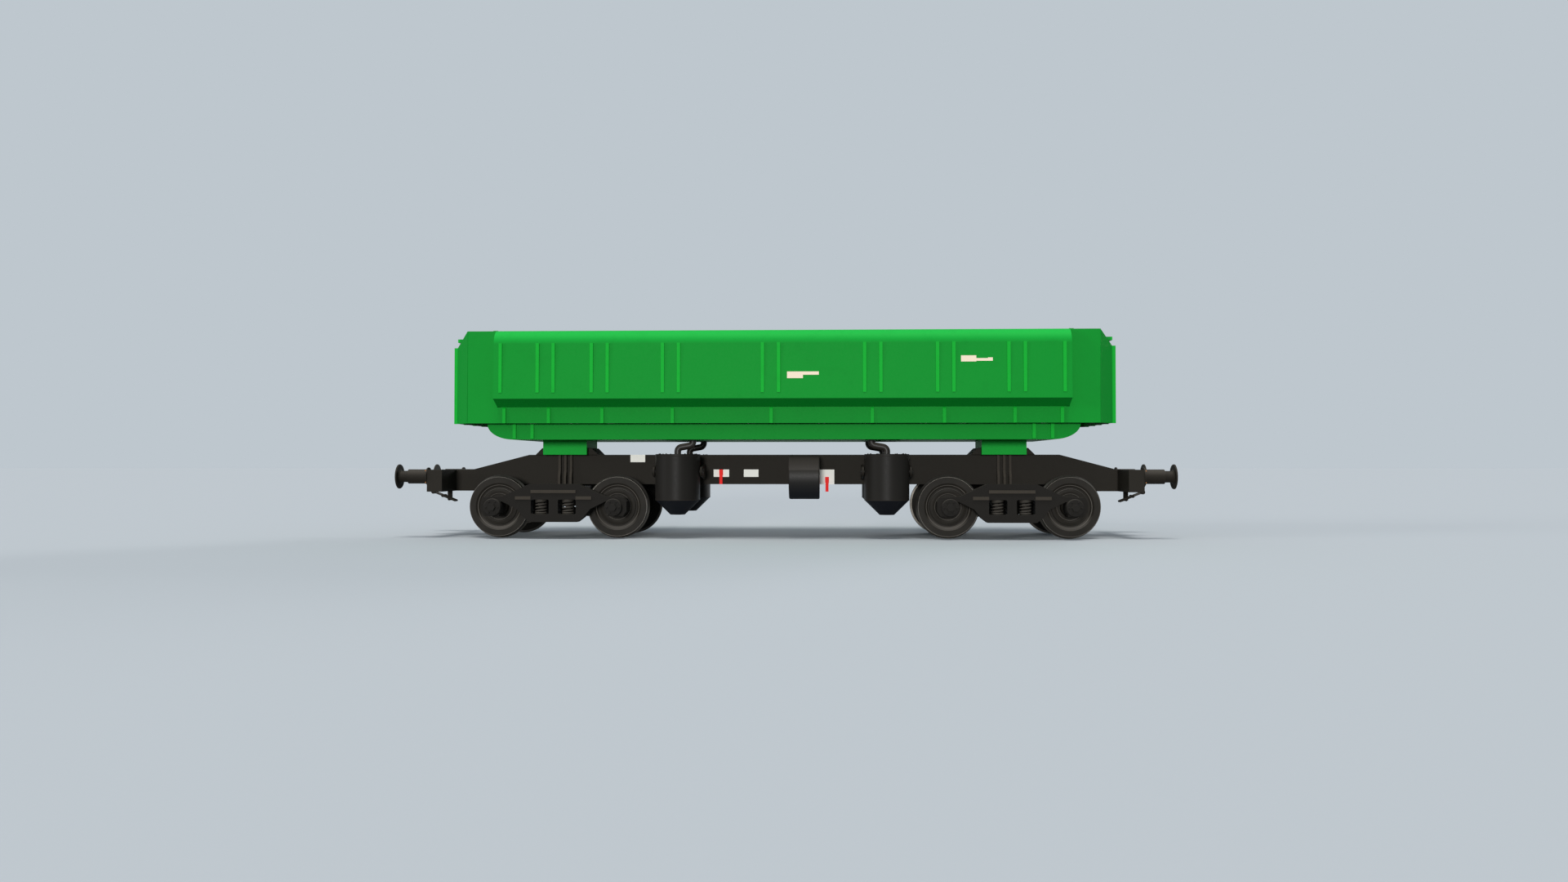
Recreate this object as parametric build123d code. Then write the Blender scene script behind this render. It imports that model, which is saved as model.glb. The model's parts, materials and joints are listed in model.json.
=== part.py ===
from build123d import *
import os
from math import atan2, cos, degrees, hypot, radians, sin

# Side-tipping dump car on two four-wheel bogies, full size, in millimetres.
# +X runs along the track, +Z is up and the near side of the car is at -Y.
# The origin is midway between the bogies, level with the bottoms of the wheel flanges.
# The box tips to either side: it turns on that side's shaft, and its other side lifts out of its hinges.
os.makedirs("parts", exist_ok=True)

# Fits and plates
RUNNING_GAP = 0.3        # pins, shafts and bearings
MOVING_GAP = 6.0         # panels that swing past each other
SEAM = 0.3               # between plates that are butted together
PLATE = 12.0             # ordinary plate
WALL = 15.0              # plate of the dump box
CUT = 1.0                # how far a cutting tool runs past the face that it cuts

# Wheels and axles
TREAD_R = 460.0
FLANGE_HEIGHT = 28.0
FLANGE_THICK = 34.0
FLANGE_R = TREAD_R + FLANGE_HEIGHT
RAIL = FLANGE_HEIGHT     # height of the rail head above the origin
AXLE_Z = RAIL + TREAD_R
WHEEL_IN_Y = 680.0       # inner face of the rim
RIM_WIDTH = 135.0
WHEEL_OUT_Y = WHEEL_IN_Y + RIM_WIDTH
AXLE_R = 82.0
JOURNAL_R = 70.0
SHOULDER_R = JOURNAL_R + 22
HUB_R = 135.0
RIM_R = TREAD_R - 97     # where the rim's face ends
WEB_R = RIM_R - 57       # foot of the cone that leads to the web
RING_R = (WEB_R - 23, WEB_R - 68, WEB_R - 113)   # the raised ring: outside, crown and inside
WEB_Y = WHEEL_OUT_Y - 43
WEB_BACK_Y = WHEEL_IN_Y + 35
RING_RISE = 27.0

# Bogies
BOGIE_X = 3468.0         # from the middle of the car to each bogie centre
WHEELBASE = 1850.0
FRAME_WIDTH = 180.0
FRAME_IN_Y = WHEEL_OUT_Y + 135
FRAME_OUT_Y = FRAME_IN_Y + FRAME_WIDTH
FRAME_BOTTOM = AXLE_Z - 226
FRAME_TOP = AXLE_Z + 352
FRAME_CORNER_R = 14.0
FRAME_LIP = 20.0         # how far the cast ribs stand out
BELLY_HALF = 368.0       # half of the frame's level bottom
CROWN_HALF = 374.0       # half of its level top
WINDOW_BOTTOM = AXLE_Z - 108
WINDOW_HEIGHT = 224.0
WINDOW_TOP = WINDOW_BOTTOM + WINDOW_HEIGHT
WINDOW_WIDTH = 275.0
WINDOW_CORNER_R = 22.0
POST_HALF = 70.0         # half of the post between the spring windows
WINDOW_END = POST_HALF + WINDOW_WIDTH
SPRING_R = 92.0
SPRING_WIRE_R = 15.0
SPRING_TURNS = 5
COIL_TILT = 3.0          # how much each coil leans, in degrees
JOURNAL_END_Y = FRAME_OUT_Y + 20
BEARING_R = 132.0
BEARING_END_Y = FRAME_OUT_Y + 75
BEARING_BEVEL = 8.0
CAP_R = 58.0
CAP_END_Y = BEARING_END_Y + 45
BOLSTER_HALF = 190.0
BOLSTER_BOTTOM = AXLE_Z + 125
BOLSTER_TOP = AXLE_Z + 290
BOLSTER_BELLY = 130.0    # how much deeper the bolster is in its middle
CENTRE_PLATE_R = 160.0

# Underframe, stacked on the bolsters
SILL_HALF = 270.0        # outer face of each web
SILL_DEPTH = 467.0
SILL_BOTTOM = BOLSTER_TOP + 47
SILL_TOP = SILL_BOTTOM + SILL_DEPTH
SILL_END_TOP = SILL_TOP - 234
SILL_END_BOTTOM = SILL_BOTTOM - 107
SILL_FLANGE = 20.0
GUSSET_PITCH = 92.0
GUSSET_WIDTH = 38.0
PEDESTAL_TOP = SILL_TOP + 106
PEDESTAL_HALF = SILL_HALF + 30
PEDESTAL_WALL = 30.0
PEDESTAL_X = (BOGIE_X - 518, BOGIE_X + 482)
SADDLE_X = (BOGIE_X - 362, BOGIE_X + 333)
SADDLE_HALF = SILL_HALF + 150
SADDLE_CHEEK = 90.0

# Dump box
BOX_HALF = 1241.0        # outer face of the lower wall and of the corners
BOX_END_X = 4990.0       # outer face of the end wall
BOX_HEIGHT = 1400.0
SUB_HEIGHT = 240.0       # of the subframe below the box
BEVEL_X = BOX_END_X - 224      # where the corner bevel starts
BEVEL_Y = BOX_HALF - 241
SUB_BOTTOM = SILL_TOP + 226
SUB_TOP = SUB_BOTTOM + SUB_HEIGHT
BOX_BOTTOM = SUB_TOP + 4
BOX_TOP = BOX_BOTTOM + BOX_HEIGHT
END_SLOPE_Z = BOX_TOP - 229
END_SLOPE_X = BOX_END_X - 223
END_RIB_DEPTH = 60.0
END_BAR_X = (BOX_END_X - 110, BOX_END_X + 30)
END_BAR_Z = (BOX_TOP - 137, BOX_TOP - 86)
FLOOR_TOP = BOX_BOTTOM + 138
FLOOR_BEAM_DEPTH = 60.0
FLOOR_BEAM_HALF = 60.0
RIB_WIDTH = 50.0
RIB_DEPTH = 22.0

# Ends of the underframe
HEADSTOCK_LENGTH = 235.0
HEADSTOCK_IN_X = BOX_END_X + 246
HEADSTOCK_OUT_X = HEADSTOCK_IN_X + HEADSTOCK_LENGTH
HEADSTOCK_HALF = BOX_HALF - 258
HEADSTOCK_WALL = 20.0
SLOPE_A = (1178.0, 268.0)      # the sill's sloping top at the -X end, from and to, back from the headstock
SLOPE_B = (900.0, 16.0)        # and at the +X end
BELLY_SLOPE = (676.0, 376.0)   # and its sloping bottom at both ends

# Buffers
BUFFER_Y = 875.0
BUFFER_Z = SILL_END_TOP - 106
BUFFER_LENGTH = 498.0
BUFFER_FACE_X = HEADSTOCK_OUT_X + BUFFER_LENGTH
BUFFER_HEAD_R = 189.0
BUFFER_BOSS_R = 56.0
BUFFER_PLUNGER_R = 88.0
BUFFER_HOUSING_R = BUFFER_PLUNGER_R + 23
BUFFER_HOUSING_END_X = HEADSTOCK_OUT_X + 314
BUFFER_FLANGE_R = BUFFER_HOUSING_R + 29
BUFFER_FLANGE_THICK = 18.0
BUFFER_SEAT = 60.0       # where the plunger ends inside its housing

# Draw hook and screw coupling
HOOK_Z = SILL_END_TOP - 125
HOOK_HALF = 32.0
HOOK_CORNER_R = 12.0
COUPLING_PIN = (HEADSTOCK_OUT_X + 120, HOOK_Z - 22)       # as x and z
COUPLING_PIN_R = 18.0
LINK_NUT = (HEADSTOCK_OUT_X + 214, SILL_END_BOTTOM - 20)
BOW_NUT = (HEADSTOCK_OUT_X + 50, SILL_END_BOTTOM - 86)
BOW_END_X = HEADSTOCK_OUT_X - 141
LINK_THICK = 24.0
LINK_EYE_R = 34.0
NUT_R = 24.0
SCREW_R = 19.0
BOW_R = 16.0
BOW_HALF = 52.0          # from the middle of the bow to its side bars
REST_X = (HEADSTOCK_OUT_X - 79, HEADSTOCK_OUT_X - 12)
REST_HALF = 25.0
REST_PIN_R = 10.0

# Doors
DOOR_POST = 682.0        # plate of the box beside each end of a door
DOOR_HALF = BOX_END_X - DOOR_POST
DOOR_ROLL_R = 219.0      # radius of the rolled top, and how far a door stands out
DOOR_OUT_Y = BOX_HALF + DOOR_ROLL_R
DOOR_FOOT_OUT_Y = DOOR_OUT_Y + 25
DOOR_SILL_Z = BOX_BOTTOM + 248
DOOR_EDGE_Z = DOOR_SILL_Z + 112
DOOR_RIB_TOP = BOX_TOP - DOOR_ROLL_R + 11
DOOR_RIB_FOOT = DOOR_EDGE_Z + 90
DOOR_HINGE_Y = BOX_HALF - 51
DOOR_HINGE_Z = BOX_TOP - 54
DOOR_PIN_R = 20.0
DOOR_EYE_R = 48.0
LUG_LENGTH = 63.0        # of the lug that holds a door's pin
LUG_RISE = 12.0          # above the box
LUG_CORNER_R = 25.0

# Subframe
SUB_HALF = BOX_HALF - 161
SUB_END_X = BOX_END_X - 490
SUB_BOW_LENGTH = 402.0   # the rounded end, a quarter of an ellipse as high as the subframe
SUB_BOW_EDGE = 6.0       # level lip at its top
SUB_BOW_X = SUB_END_X - SUB_BOW_LENGTH

# Tipping hinges
HINGE_Y = SUB_HALF - 80
HINGE_Z = SUB_TOP - 60
HINGE_X = (600.0, 2300.0, 3600.0)
HINGE_STATIONS = tuple(side * x for side in (-1, 1) for x in HINGE_X)
SHAFT_R = 25.0
SHAFT_HALF = HINGE_X[-1] + 120
EYE_R = SHAFT_R + 23
EYE_THICK = 40.0
BEARING_WIDTH = 40.0
BEARING_HALF = 55.0
BEARING_DROP = 70.0      # foot of a bearing block below the shaft
OPEN_BEARING_RISE = 20.0
THROAT = SHAFT_R + 2     # half of the mouth of an open jaw

# Dump cylinders
CYL_X = 1612.0
CYL_Y = HINGE_Y - 226
CYL_R = 344.0
CYL_WALL = 24.0
CYL_TOP = SILL_TOP + 5
CYL_SKIRT = CYL_TOP - 704
CYL_BOTTOM = CYL_SKIRT - 227
CYL_FOOT_R = 113.0
STAGE_R = 200.0
STAGE_WALL = 24.0
STAGE_SINK = 7.0         # top of the drawn-in stage below the top of the barrel
STAGE_FOOT = CYL_SKIRT - 70
TRUNNION_Z = CYL_TOP - 269
TRUNNION_R = 40.0
TRUNNION_ARM = 30.0
TRUNNION_GAP = 8.0
TRUNNION_HEAD_R = 76.0
ROD_R = 52.0
ROD_SHIFT = 236.0        # the swan neck brings the rod's head this far in
ROD_BEND_R = 70.0
ROD_BEND_ANGLE = 80.0
ROD_NECK_Z = CYL_TOP + 39      # where the neck starts
ROD_EYE_Z = HINGE_Z + 30
ROD_EYE_R = 45.0
ROD_EYE_HALF = 55.0
ROD_PIN_R = 22.0
CLEVIS_PLATE = 20.0
WAY_GAP = 25.0           # round the stage and the rod where they pass the subframe
WAY_SWING = 190.0        # and how far the cylinder swings in

# Air reservoir and brake levers
TANK_R = 343.0
TANK_X = (110.0, 579.0)
TANK_DISH = 12.0
TANK_BRACKET = 20.0
LEVER_WIDTH = 48.0
LEVER_LENGTH = 232.0
LEVERS = ((-986.0, SILL_TOP - 234), (692.0, SILL_TOP - 351))   # each lever's x and the height of its top

# Where the ribs stand: shares of half a door's length, and places on the subframe
RIB_PAIR_SHARES = (-0.8159, -0.6267, -0.3788, -0.0325, 0.3192, 0.5687, 0.8117)
RIB_PAIRS_X = tuple(share * DOOR_HALF for share in RIB_PAIR_SHARES)
RIB_PAIR_GAP = 240.0     # between the two ribs of a pair on a door
RIB_END_X = DOOR_HALF - 113
SUB_RIBS_X = (SUB_END_X - 695, SUB_END_X - 420)
FLOOR_BEAMS_X = (*HINGE_X, CYL_X - ROD_SHIFT, 2950.0, BOX_END_X - 690)


def block(x0, x1, y0, y1, z0, z1):
    centre = Pos((x0 + x1) / 2, (y0 + y1) / 2, (z0 + z1) / 2)
    return centre * Box(x1 - x0, y1 - y0, z1 - z0)


def along_x(outline, x0, x1):
    """A prism along X from an outline of (y, z) points."""
    wire = Wire.make_polygon([Vector(x0, y, z) for y, z in outline], close=True)
    return extrude(Face(wire), amount=x1 - x0, dir=(1, 0, 0))


def along_y(outline, y0, y1):
    """A prism along Y from an outline of (x, z) points."""
    wire = Wire.make_polygon([Vector(x, y0, z) for x, z in outline], close=True)
    return extrude(Face(wire), amount=y1 - y0, dir=(0, 1, 0))


def rounded_along_y(outline, y0, y1, radius):
    """A prism along Y whose corners in side view are rounded."""
    side_view = fillet(Polygon(*outline).vertices(), radius)
    return Pos(0, y0, 0) * extrude(Plane.XZ * side_view, amount=y1 - y0, dir=(0, 1, 0))


def bar_x(x0, x1, y, z, radius):
    return Pos((x0 + x1) / 2, y, z) * Rot(0, 90, 0) * Cylinder(radius, x1 - x0)


def bar_y(y0, y1, x, z, radius):
    return Pos(x, (y0 + y1) / 2, z) * Rot(90, 0, 0) * Cylinder(radius, y1 - y0)


def bar_z(z0, z1, x, y, radius):
    return Pos(x, y, (z0 + z1) / 2) * Cylinder(radius, z1 - z0)


def turned(profile, axis):
    """A turned piece from a closed profile in the XY plane."""
    wire = Wire.make_polygon([Vector(x, y, 0) for x, y in profile], close=True)
    return revolve(Face(wire), axis, 360)


def across_x(shape):
    return shape.mirror(Plane.YZ)


def across_y(shape):
    return shape.mirror(Plane.XZ)


def four(piece):
    return [piece, across_x(piece), across_y(piece), across_x(across_y(piece))]


def arc_xz(x, z, radius, start, end, y=0):
    """An arc in a plane of constant Y about the centre (x, z), between two angles from +X towards +Z."""
    def point(angle):
        return (x + radius * cos(radians(angle)), y, z + radius * sin(radians(angle)))
    return ThreePointArc(point(start), point((start + end) / 2), point(end))


def face_of(parts):
    return Face(Wire([edge for part in parts for edge in part.edges()]))


def joined(pieces):
    whole = pieces[0]
    for piece in pieces[1:]:
        whole = whole + piece
    return whole


def write(name, pieces):
    """One STEP file for a sub-part, as one solid or as several that don't touch."""
    solids = [solid for piece in pieces for solid in piece.solids()]
    shape = solids[0] if len(solids) == 1 else Compound(children=solids)
    shape.label = name
    export_step(shape, f"parts/{name}.step")


# Wheelsets

def wheelset():
    """An axle with its two flanged wheels, turned about Y through its own centre."""
    hub_in, hub_out = WHEEL_IN_Y - 25, WHEEL_OUT_Y + 23
    outside, crown, inside = RING_R
    ring_y = WEB_Y + RING_RISE
    back = [
        (0, 0), (AXLE_R, 0), (AXLE_R, hub_in), (HUB_R, hub_in), (HUB_R, WEB_BACK_Y),
        (RIM_R - 35, WEB_BACK_Y + 13), (RIM_R - 25, WHEEL_IN_Y),
    ]
    tread = [
        (FLANGE_R - 6, WHEEL_IN_Y), (FLANGE_R, WHEEL_IN_Y + 14), (TREAD_R + 1, WHEEL_IN_Y + FLANGE_THICK),
        (TREAD_R - 2, WHEEL_OUT_Y),
    ]
    front = [
        (RIM_R, WHEEL_OUT_Y), (WEB_R, WEB_Y), (outside, WEB_Y), (outside - 6, ring_y - 9), (crown, ring_y),
        (inside + 6, ring_y - 9), (inside, WEB_Y - 7), (HUB_R + 15, WEB_Y - 7), (HUB_R, hub_out),
    ]
    journal = [
        (SHOULDER_R, hub_out), (SHOULDER_R, hub_out + 42), (JOURNAL_R, hub_out + 52),
        (JOURNAL_R, JOURNAL_END_Y), (0, JOURNAL_END_Y),
    ]
    one = turned(back + tread + front + journal, Axis.Y)
    return one + across_y(one)


# Bogies, drawn about their own centre

def frame_outline():
    """Side view of a side frame's right half, as (x, z): belly, rise, jaw under the axle, end, back."""
    arm = WHEELBASE / 2
    jaw_z, end_x = AXLE_Z - 135, arm + 195
    return [
        (0, FRAME_BOTTOM), (BELLY_HALF, FRAME_BOTTOM), (BELLY_HALF + 89, FRAME_BOTTOM + 67),
        (arm - 360, AXLE_Z - 25), (arm - 112, AXLE_Z + 95), (arm - 90, jaw_z), (arm + 140, jaw_z),
        (end_x, AXLE_Z - 60), (end_x, AXLE_Z + 90), (arm + 150, AXLE_Z + 150),
        (arm - 150, AXLE_Z + 166), (CROWN_HALF, FRAME_TOP), (0, FRAME_TOP),
    ]


def side_frame():
    """One cast side frame at +Y, with its spring windows, axle seats and ribs."""
    right = frame_outline()
    left = [(-x, z) for x, z in reversed(right[1:-1])]
    frame = rounded_along_y(right[1:-1] + left, FRAME_IN_Y, FRAME_OUT_Y, FRAME_CORNER_R)
    y0, y1 = FRAME_IN_Y - CUT, FRAME_OUT_Y + CUT
    lip = (FRAME_OUT_Y, FRAME_OUT_Y + FRAME_LIP)
    window_outline = [(POST_HALF, WINDOW_BOTTOM), (WINDOW_END, WINDOW_BOTTOM), (WINDOW_END, WINDOW_TOP),
                      (POST_HALF, WINDOW_TOP)]
    window = rounded_along_y(window_outline, y0, y1, WINDOW_CORNER_R)
    seat = bar_y(y0, y1, WHEELBASE / 2, AXLE_Z, BEARING_R)
    frame = frame - window - across_x(window) - seat - across_x(seat)
    upper_rib = block(-WINDOW_END, WINDOW_END, *lip, AXLE_Z + 215, AXLE_Z + 262)
    lower_rib = block(WINDOW_END, WHEELBASE / 2 - 340, *lip, WINDOW_TOP, WINDOW_TOP + 49)
    return frame + upper_rib + lower_rib + across_x(lower_rib)


def coil_spring(x, y):
    """A spring as leaning coils round a core, between two level end coils, standing in a window."""
    pitch = (WINDOW_TOP - WINDOW_BOTTOM - 2 * SPRING_WIRE_R) / (SPRING_TURNS - 1)
    spring = bar_z(WINDOW_BOTTOM, WINDOW_TOP, x, y, SPRING_R - 2 * SPRING_WIRE_R)
    for turn in range(SPRING_TURNS):
        z = WINDOW_BOTTOM + SPRING_WIRE_R + turn * pitch
        lean = COIL_TILT if 0 < turn < SPRING_TURNS - 1 else 0
        spring = spring + Pos(x, y, z) * Rot(0, lean, 0) * Cylinder(SPRING_R, 2 * SPRING_WIRE_R)
    return spring


def bearing(x):
    """A roller bearing in its cartridge at +Y, with its bevelled cover and end cap."""
    foot_y = FRAME_IN_Y - 40
    profile = [(0, foot_y), (BEARING_R, foot_y), (BEARING_R, BEARING_END_Y - BEARING_BEVEL),
               (BEARING_R - BEARING_BEVEL, BEARING_END_Y), (0, BEARING_END_Y)]
    shell = Pos(x, 0, AXLE_Z) * turned(profile, Axis.Y)
    bore = bar_y(foot_y - CUT, JOURNAL_END_Y + RUNNING_GAP, x, AXLE_Z, JOURNAL_R + RUNNING_GAP)
    cap = Pos(x, (BEARING_END_Y + CAP_END_Y) / 2, AXLE_Z) * Rot(90, 0, 0) * extrude(
        RegularPolygon(CAP_R, 6), amount=(CAP_END_Y - BEARING_END_Y) / 2, both=True)
    return shell - bore + cap


def bolster():
    """The fish-bellied cross beam with its centre plate, between the two side frames."""
    half = [(FRAME_IN_Y, BOLSTER_BOTTOM), (FRAME_IN_Y, BOLSTER_TOP)]
    belly = [(-SADDLE_HALF, BOLSTER_BOTTOM), (-SADDLE_HALF + BOLSTER_BELLY, BOLSTER_BOTTOM - BOLSTER_BELLY),
             (SADDLE_HALF - BOLSTER_BELLY, BOLSTER_BOTTOM - BOLSTER_BELLY), (SADDLE_HALF, BOLSTER_BOTTOM)]
    outline = belly + half + [(-y, z) for y, z in reversed(half)]
    plate = bar_z(BOLSTER_TOP, SILL_BOTTOM - RUNNING_GAP, 0, 0, CENTRE_PLATE_R)
    return along_x(outline, -BOLSTER_HALF, BOLSTER_HALF) + plate


def write_bogie(tag, x):
    place = Pos(x, 0, 0)
    frame = side_frame()
    write(f"side_frame_{tag}_near", [place * across_y(frame)])
    write(f"side_frame_{tag}_far", [place * frame])
    write(f"bolster_{tag}", [place * bolster()])
    spring = coil_spring((POST_HALF + WINDOW_END) / 2, (FRAME_IN_Y + FRAME_OUT_Y) / 2)
    write(f"springs_{tag}", [place * each for each in four(spring)])
    write(f"axle_bearings_{tag}", [place * each for each in four(bearing(WHEELBASE / 2))])
    for number, side in ((1, -1), (2, 1)):
        write(f"wheelset_{tag}{number}", [Pos(x + side * WHEELBASE / 2, 0, AXLE_Z) * wheelset()])


# Underframe

def sill_outline(inset):
    """Side view of the centre sill, as (x, z), drawn in by a flange's thickness."""
    top, bottom = SILL_TOP - inset, SILL_BOTTOM + inset
    end_top, end_bottom = SILL_END_TOP - inset, SILL_END_BOTTOM + inset
    end = HEADSTOCK_IN_X
    (foot_a, head_a), (foot_b, head_b), (belly, drop) = SLOPE_A, SLOPE_B, BELLY_SLOPE
    return [
        (-end, end_bottom), (drop - end, end_bottom), (belly - end, bottom),
        (end - belly, bottom), (end - drop, end_bottom), (end, end_bottom),
        (end, end_top), (end - head_b, end_top), (end - foot_b, top),
        (foot_a - end, top), (head_a - end, end_top), (-end, end_top),
    ]


def centre_sill():
    """Two webs between two flanges, with three gussets on each side over each bogie."""
    outer = along_y(sill_outline(0), -SILL_HALF, SILL_HALF)
    inner = along_y(sill_outline(SILL_FLANGE), -SILL_HALF + PLATE, SILL_HALF - PLATE)
    head_y, foot_y = SILL_HALF + 50, SILL_HALF + 85
    gusset = [(SILL_HALF, SILL_BOTTOM), (foot_y, SILL_BOTTOM), (foot_y, SILL_BOTTOM + 120),
              (head_y, SILL_BOTTOM + 220), (head_y, SILL_TOP), (SILL_HALF, SILL_TOP)]
    sill = outer - inner
    for step in (-1, 0, 1):
        middle = BOGIE_X + step * GUSSET_PITCH
        rib = along_x(gusset, middle - GUSSET_WIDTH / 2, middle + GUSSET_WIDTH / 2)
        sill = joined([sill, *four(rib)])
    return sill


def headstock():
    """The cross beam at the +X end, open below."""
    wall, half = HEADSTOCK_WALL, HEADSTOCK_HALF
    outer = block(HEADSTOCK_IN_X, HEADSTOCK_OUT_X, -half, half, SILL_END_BOTTOM, SILL_END_TOP)
    inner = block(HEADSTOCK_IN_X + wall, HEADSTOCK_OUT_X - wall, wall - half, half - wall,
                  SILL_END_BOTTOM - CUT, SILL_END_TOP - wall)
    return outer - inner


def buffer_housing():
    flange_x = HEADSTOCK_OUT_X + BUFFER_FLANGE_THICK
    profile = [
        (HEADSTOCK_OUT_X, 0), (HEADSTOCK_OUT_X, BUFFER_FLANGE_R), (flange_x, BUFFER_FLANGE_R),
        (flange_x, BUFFER_HOUSING_R), (BUFFER_HOUSING_END_X, BUFFER_HOUSING_R),
        (BUFFER_HOUSING_END_X, BUFFER_PLUNGER_R), (HEADSTOCK_OUT_X + BUFFER_SEAT, BUFFER_PLUNGER_R),
        (HEADSTOCK_OUT_X + BUFFER_SEAT, 0),
    ]
    return Pos(0, BUFFER_Y, BUFFER_Z) * turned(profile, Axis.X)


def buffer_head():
    """The plunger and its head, whose face is dished back from a small boss."""
    back, rim = BUFFER_FACE_X - 48, BUFFER_FACE_X - 26
    profile = [
        (HEADSTOCK_OUT_X + BUFFER_SEAT, 0), (HEADSTOCK_OUT_X + BUFFER_SEAT, BUFFER_PLUNGER_R),
        (back - 20, BUFFER_PLUNGER_R), (back, BUFFER_PLUNGER_R + 22), (back, BUFFER_HEAD_R - 6),
        (back + 8, BUFFER_HEAD_R), (rim, BUFFER_HEAD_R), (BUFFER_FACE_X - 12, BUFFER_BOSS_R + 40),
        (BUFFER_FACE_X - 10, BUFFER_BOSS_R), (BUFFER_FACE_X, BUFFER_BOSS_R), (BUFFER_FACE_X, 0),
    ]
    return Pos(0, BUFFER_Y, BUFFER_Z) * turned(profile, Axis.X)


def draw_hook():
    """The hook at the +X end: a bolted plate, a shank and a jaw that opens upward."""
    base, z = HEADSTOCK_OUT_X, HOOK_Z
    plate = block(base, base + 18, -130, 130, z - 110, z + 110)
    outline = [
        (base + 4, z - 45), (base + 190, z - 75), (base + 262, z - 40), (base + 282, z + 30),
        (base + 268, z + 85), (base + 228, z + 85), (base + 222, z + 10), (base + 170, z + 10),
        (base + 150, z + 60), (base + 4, z + 45),
    ]
    hook = plate + rounded_along_y(outline, -HOOK_HALF, HOOK_HALF, HOOK_CORNER_R)
    pin_x, pin_z = COUPLING_PIN
    return hook - bar_y(-HOOK_HALF - CUT, HOOK_HALF + CUT, pin_x, pin_z, COUPLING_PIN_R + RUNNING_GAP)


def slanted_bar(start, end, radius, y=0):
    """A round bar between two (x, z) points in a plane of constant Y."""
    length = hypot(end[0] - start[0], end[1] - start[1])
    lean = degrees(atan2(end[0] - start[0], end[1] - start[1]))
    middle = Pos((start[0] + end[0]) / 2, y, (start[1] + end[1]) / 2)
    return middle * Rot(0, lean, 0) * Cylinder(radius, length)


def coupling_link(y):
    """A side link from the hook's pin down to the first nut, with a round eye at each end."""
    (pin_x, pin_z), (nut_x, nut_z) = COUPLING_PIN, LINK_NUT
    y0, y1 = y - LINK_THICK / 2, y + LINK_THICK / 2
    length = hypot(nut_x - pin_x, nut_z - pin_z)
    lean = degrees(atan2(nut_x - pin_x, nut_z - pin_z))
    shank = Pos((pin_x + nut_x) / 2, y, (pin_z + nut_z) / 2) * Rot(0, lean, 0) * Box(
        1.3 * LINK_EYE_R, LINK_THICK, length)
    return shank + bar_y(y0, y1, pin_x, pin_z, LINK_EYE_R) + bar_y(y0, y1, nut_x, nut_z, LINK_EYE_R)


def screw_coupling():
    """The coupling as it hangs: links, a screw through two nuts, and the bow drawn back on its rest."""
    nut_x, nut_z = BOW_NUT
    fall = (LINK_NUT[1] - nut_z) / (LINK_NUT[0] - nut_x)
    bow_z = nut_z - (nut_x - BOW_END_X) * fall
    side_y = HOOK_HALF + RUNNING_GAP + LINK_THICK / 2
    pin_half = side_y + LINK_THICK
    pieces = [coupling_link(side * side_y) for side in (-1, 1)]
    pieces.append(bar_y(-pin_half, pin_half, *COUPLING_PIN, COUPLING_PIN_R))
    pieces.append(bar_y(-pin_half, pin_half, *LINK_NUT, NUT_R))
    pieces.append(bar_y(-BOW_HALF - 30, BOW_HALF + 30, nut_x, nut_z, NUT_R))
    pieces.append(slanted_bar(LINK_NUT, BOW_NUT, SCREW_R))
    for side in (-1, 1):
        pieces.append(slanted_bar(BOW_NUT, (BOW_END_X, bow_z), BOW_R, side * BOW_HALF))
        pieces.append(Pos(BOW_END_X, side * BOW_HALF, bow_z) * Sphere(BOW_R))
    pieces.append(bar_y(-BOW_HALF, BOW_HALF, BOW_END_X, bow_z, BOW_R))
    return joined(pieces)


def coupling_rest():
    """The bracket below the headstock whose cross pin carries the bow."""
    fall = (LINK_NUT[1] - BOW_NUT[1]) / (LINK_NUT[0] - BOW_NUT[0])
    middle = (REST_X[0] + REST_X[1]) / 2
    bow_z = BOW_NUT[1] - (BOW_NUT[0] - middle) * fall
    pin_z = bow_z - hypot(1, fall) * (BOW_R + REST_PIN_R + RUNNING_GAP)
    post = block(*REST_X, -REST_HALF, REST_HALF, pin_z, SILL_END_BOTTOM)
    return post + bar_y(-BOW_HALF - BOW_R, BOW_HALF + BOW_R, middle, pin_z, REST_PIN_R)


def pedestal():
    """The dark stand on the sill at the +X end, with sides at 45 degrees and open ends."""
    rise = PEDESTAL_TOP - SILL_TOP
    foot, head = PEDESTAL_X, (PEDESTAL_X[0] + rise, PEDESTAL_X[1] - rise)
    outline = [(foot[0], SILL_TOP), (foot[1], SILL_TOP), (head[1], PEDESTAL_TOP), (head[0], PEDESTAL_TOP)]
    stand = along_y(outline, -PEDESTAL_HALF, PEDESTAL_HALF)
    inner_half = PEDESTAL_HALF - PEDESTAL_WALL
    return stand - block(*head, -inner_half, inner_half, SILL_TOP - CUT, PEDESTAL_TOP - PEDESTAL_WALL)


def saddle():
    """The green saddle that straddles a pedestal."""
    whole = block(*SADDLE_X, -SADDLE_HALF, SADDLE_HALF, SILL_TOP, SUB_BOTTOM)
    slot_half = SADDLE_HALF - SADDLE_CHEEK
    slot_x = (SADDLE_X[0] - CUT, SADDLE_X[1] + CUT)
    return whole - block(*slot_x, -slot_half, slot_half, SILL_TOP - CUT, PEDESTAL_TOP)


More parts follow.
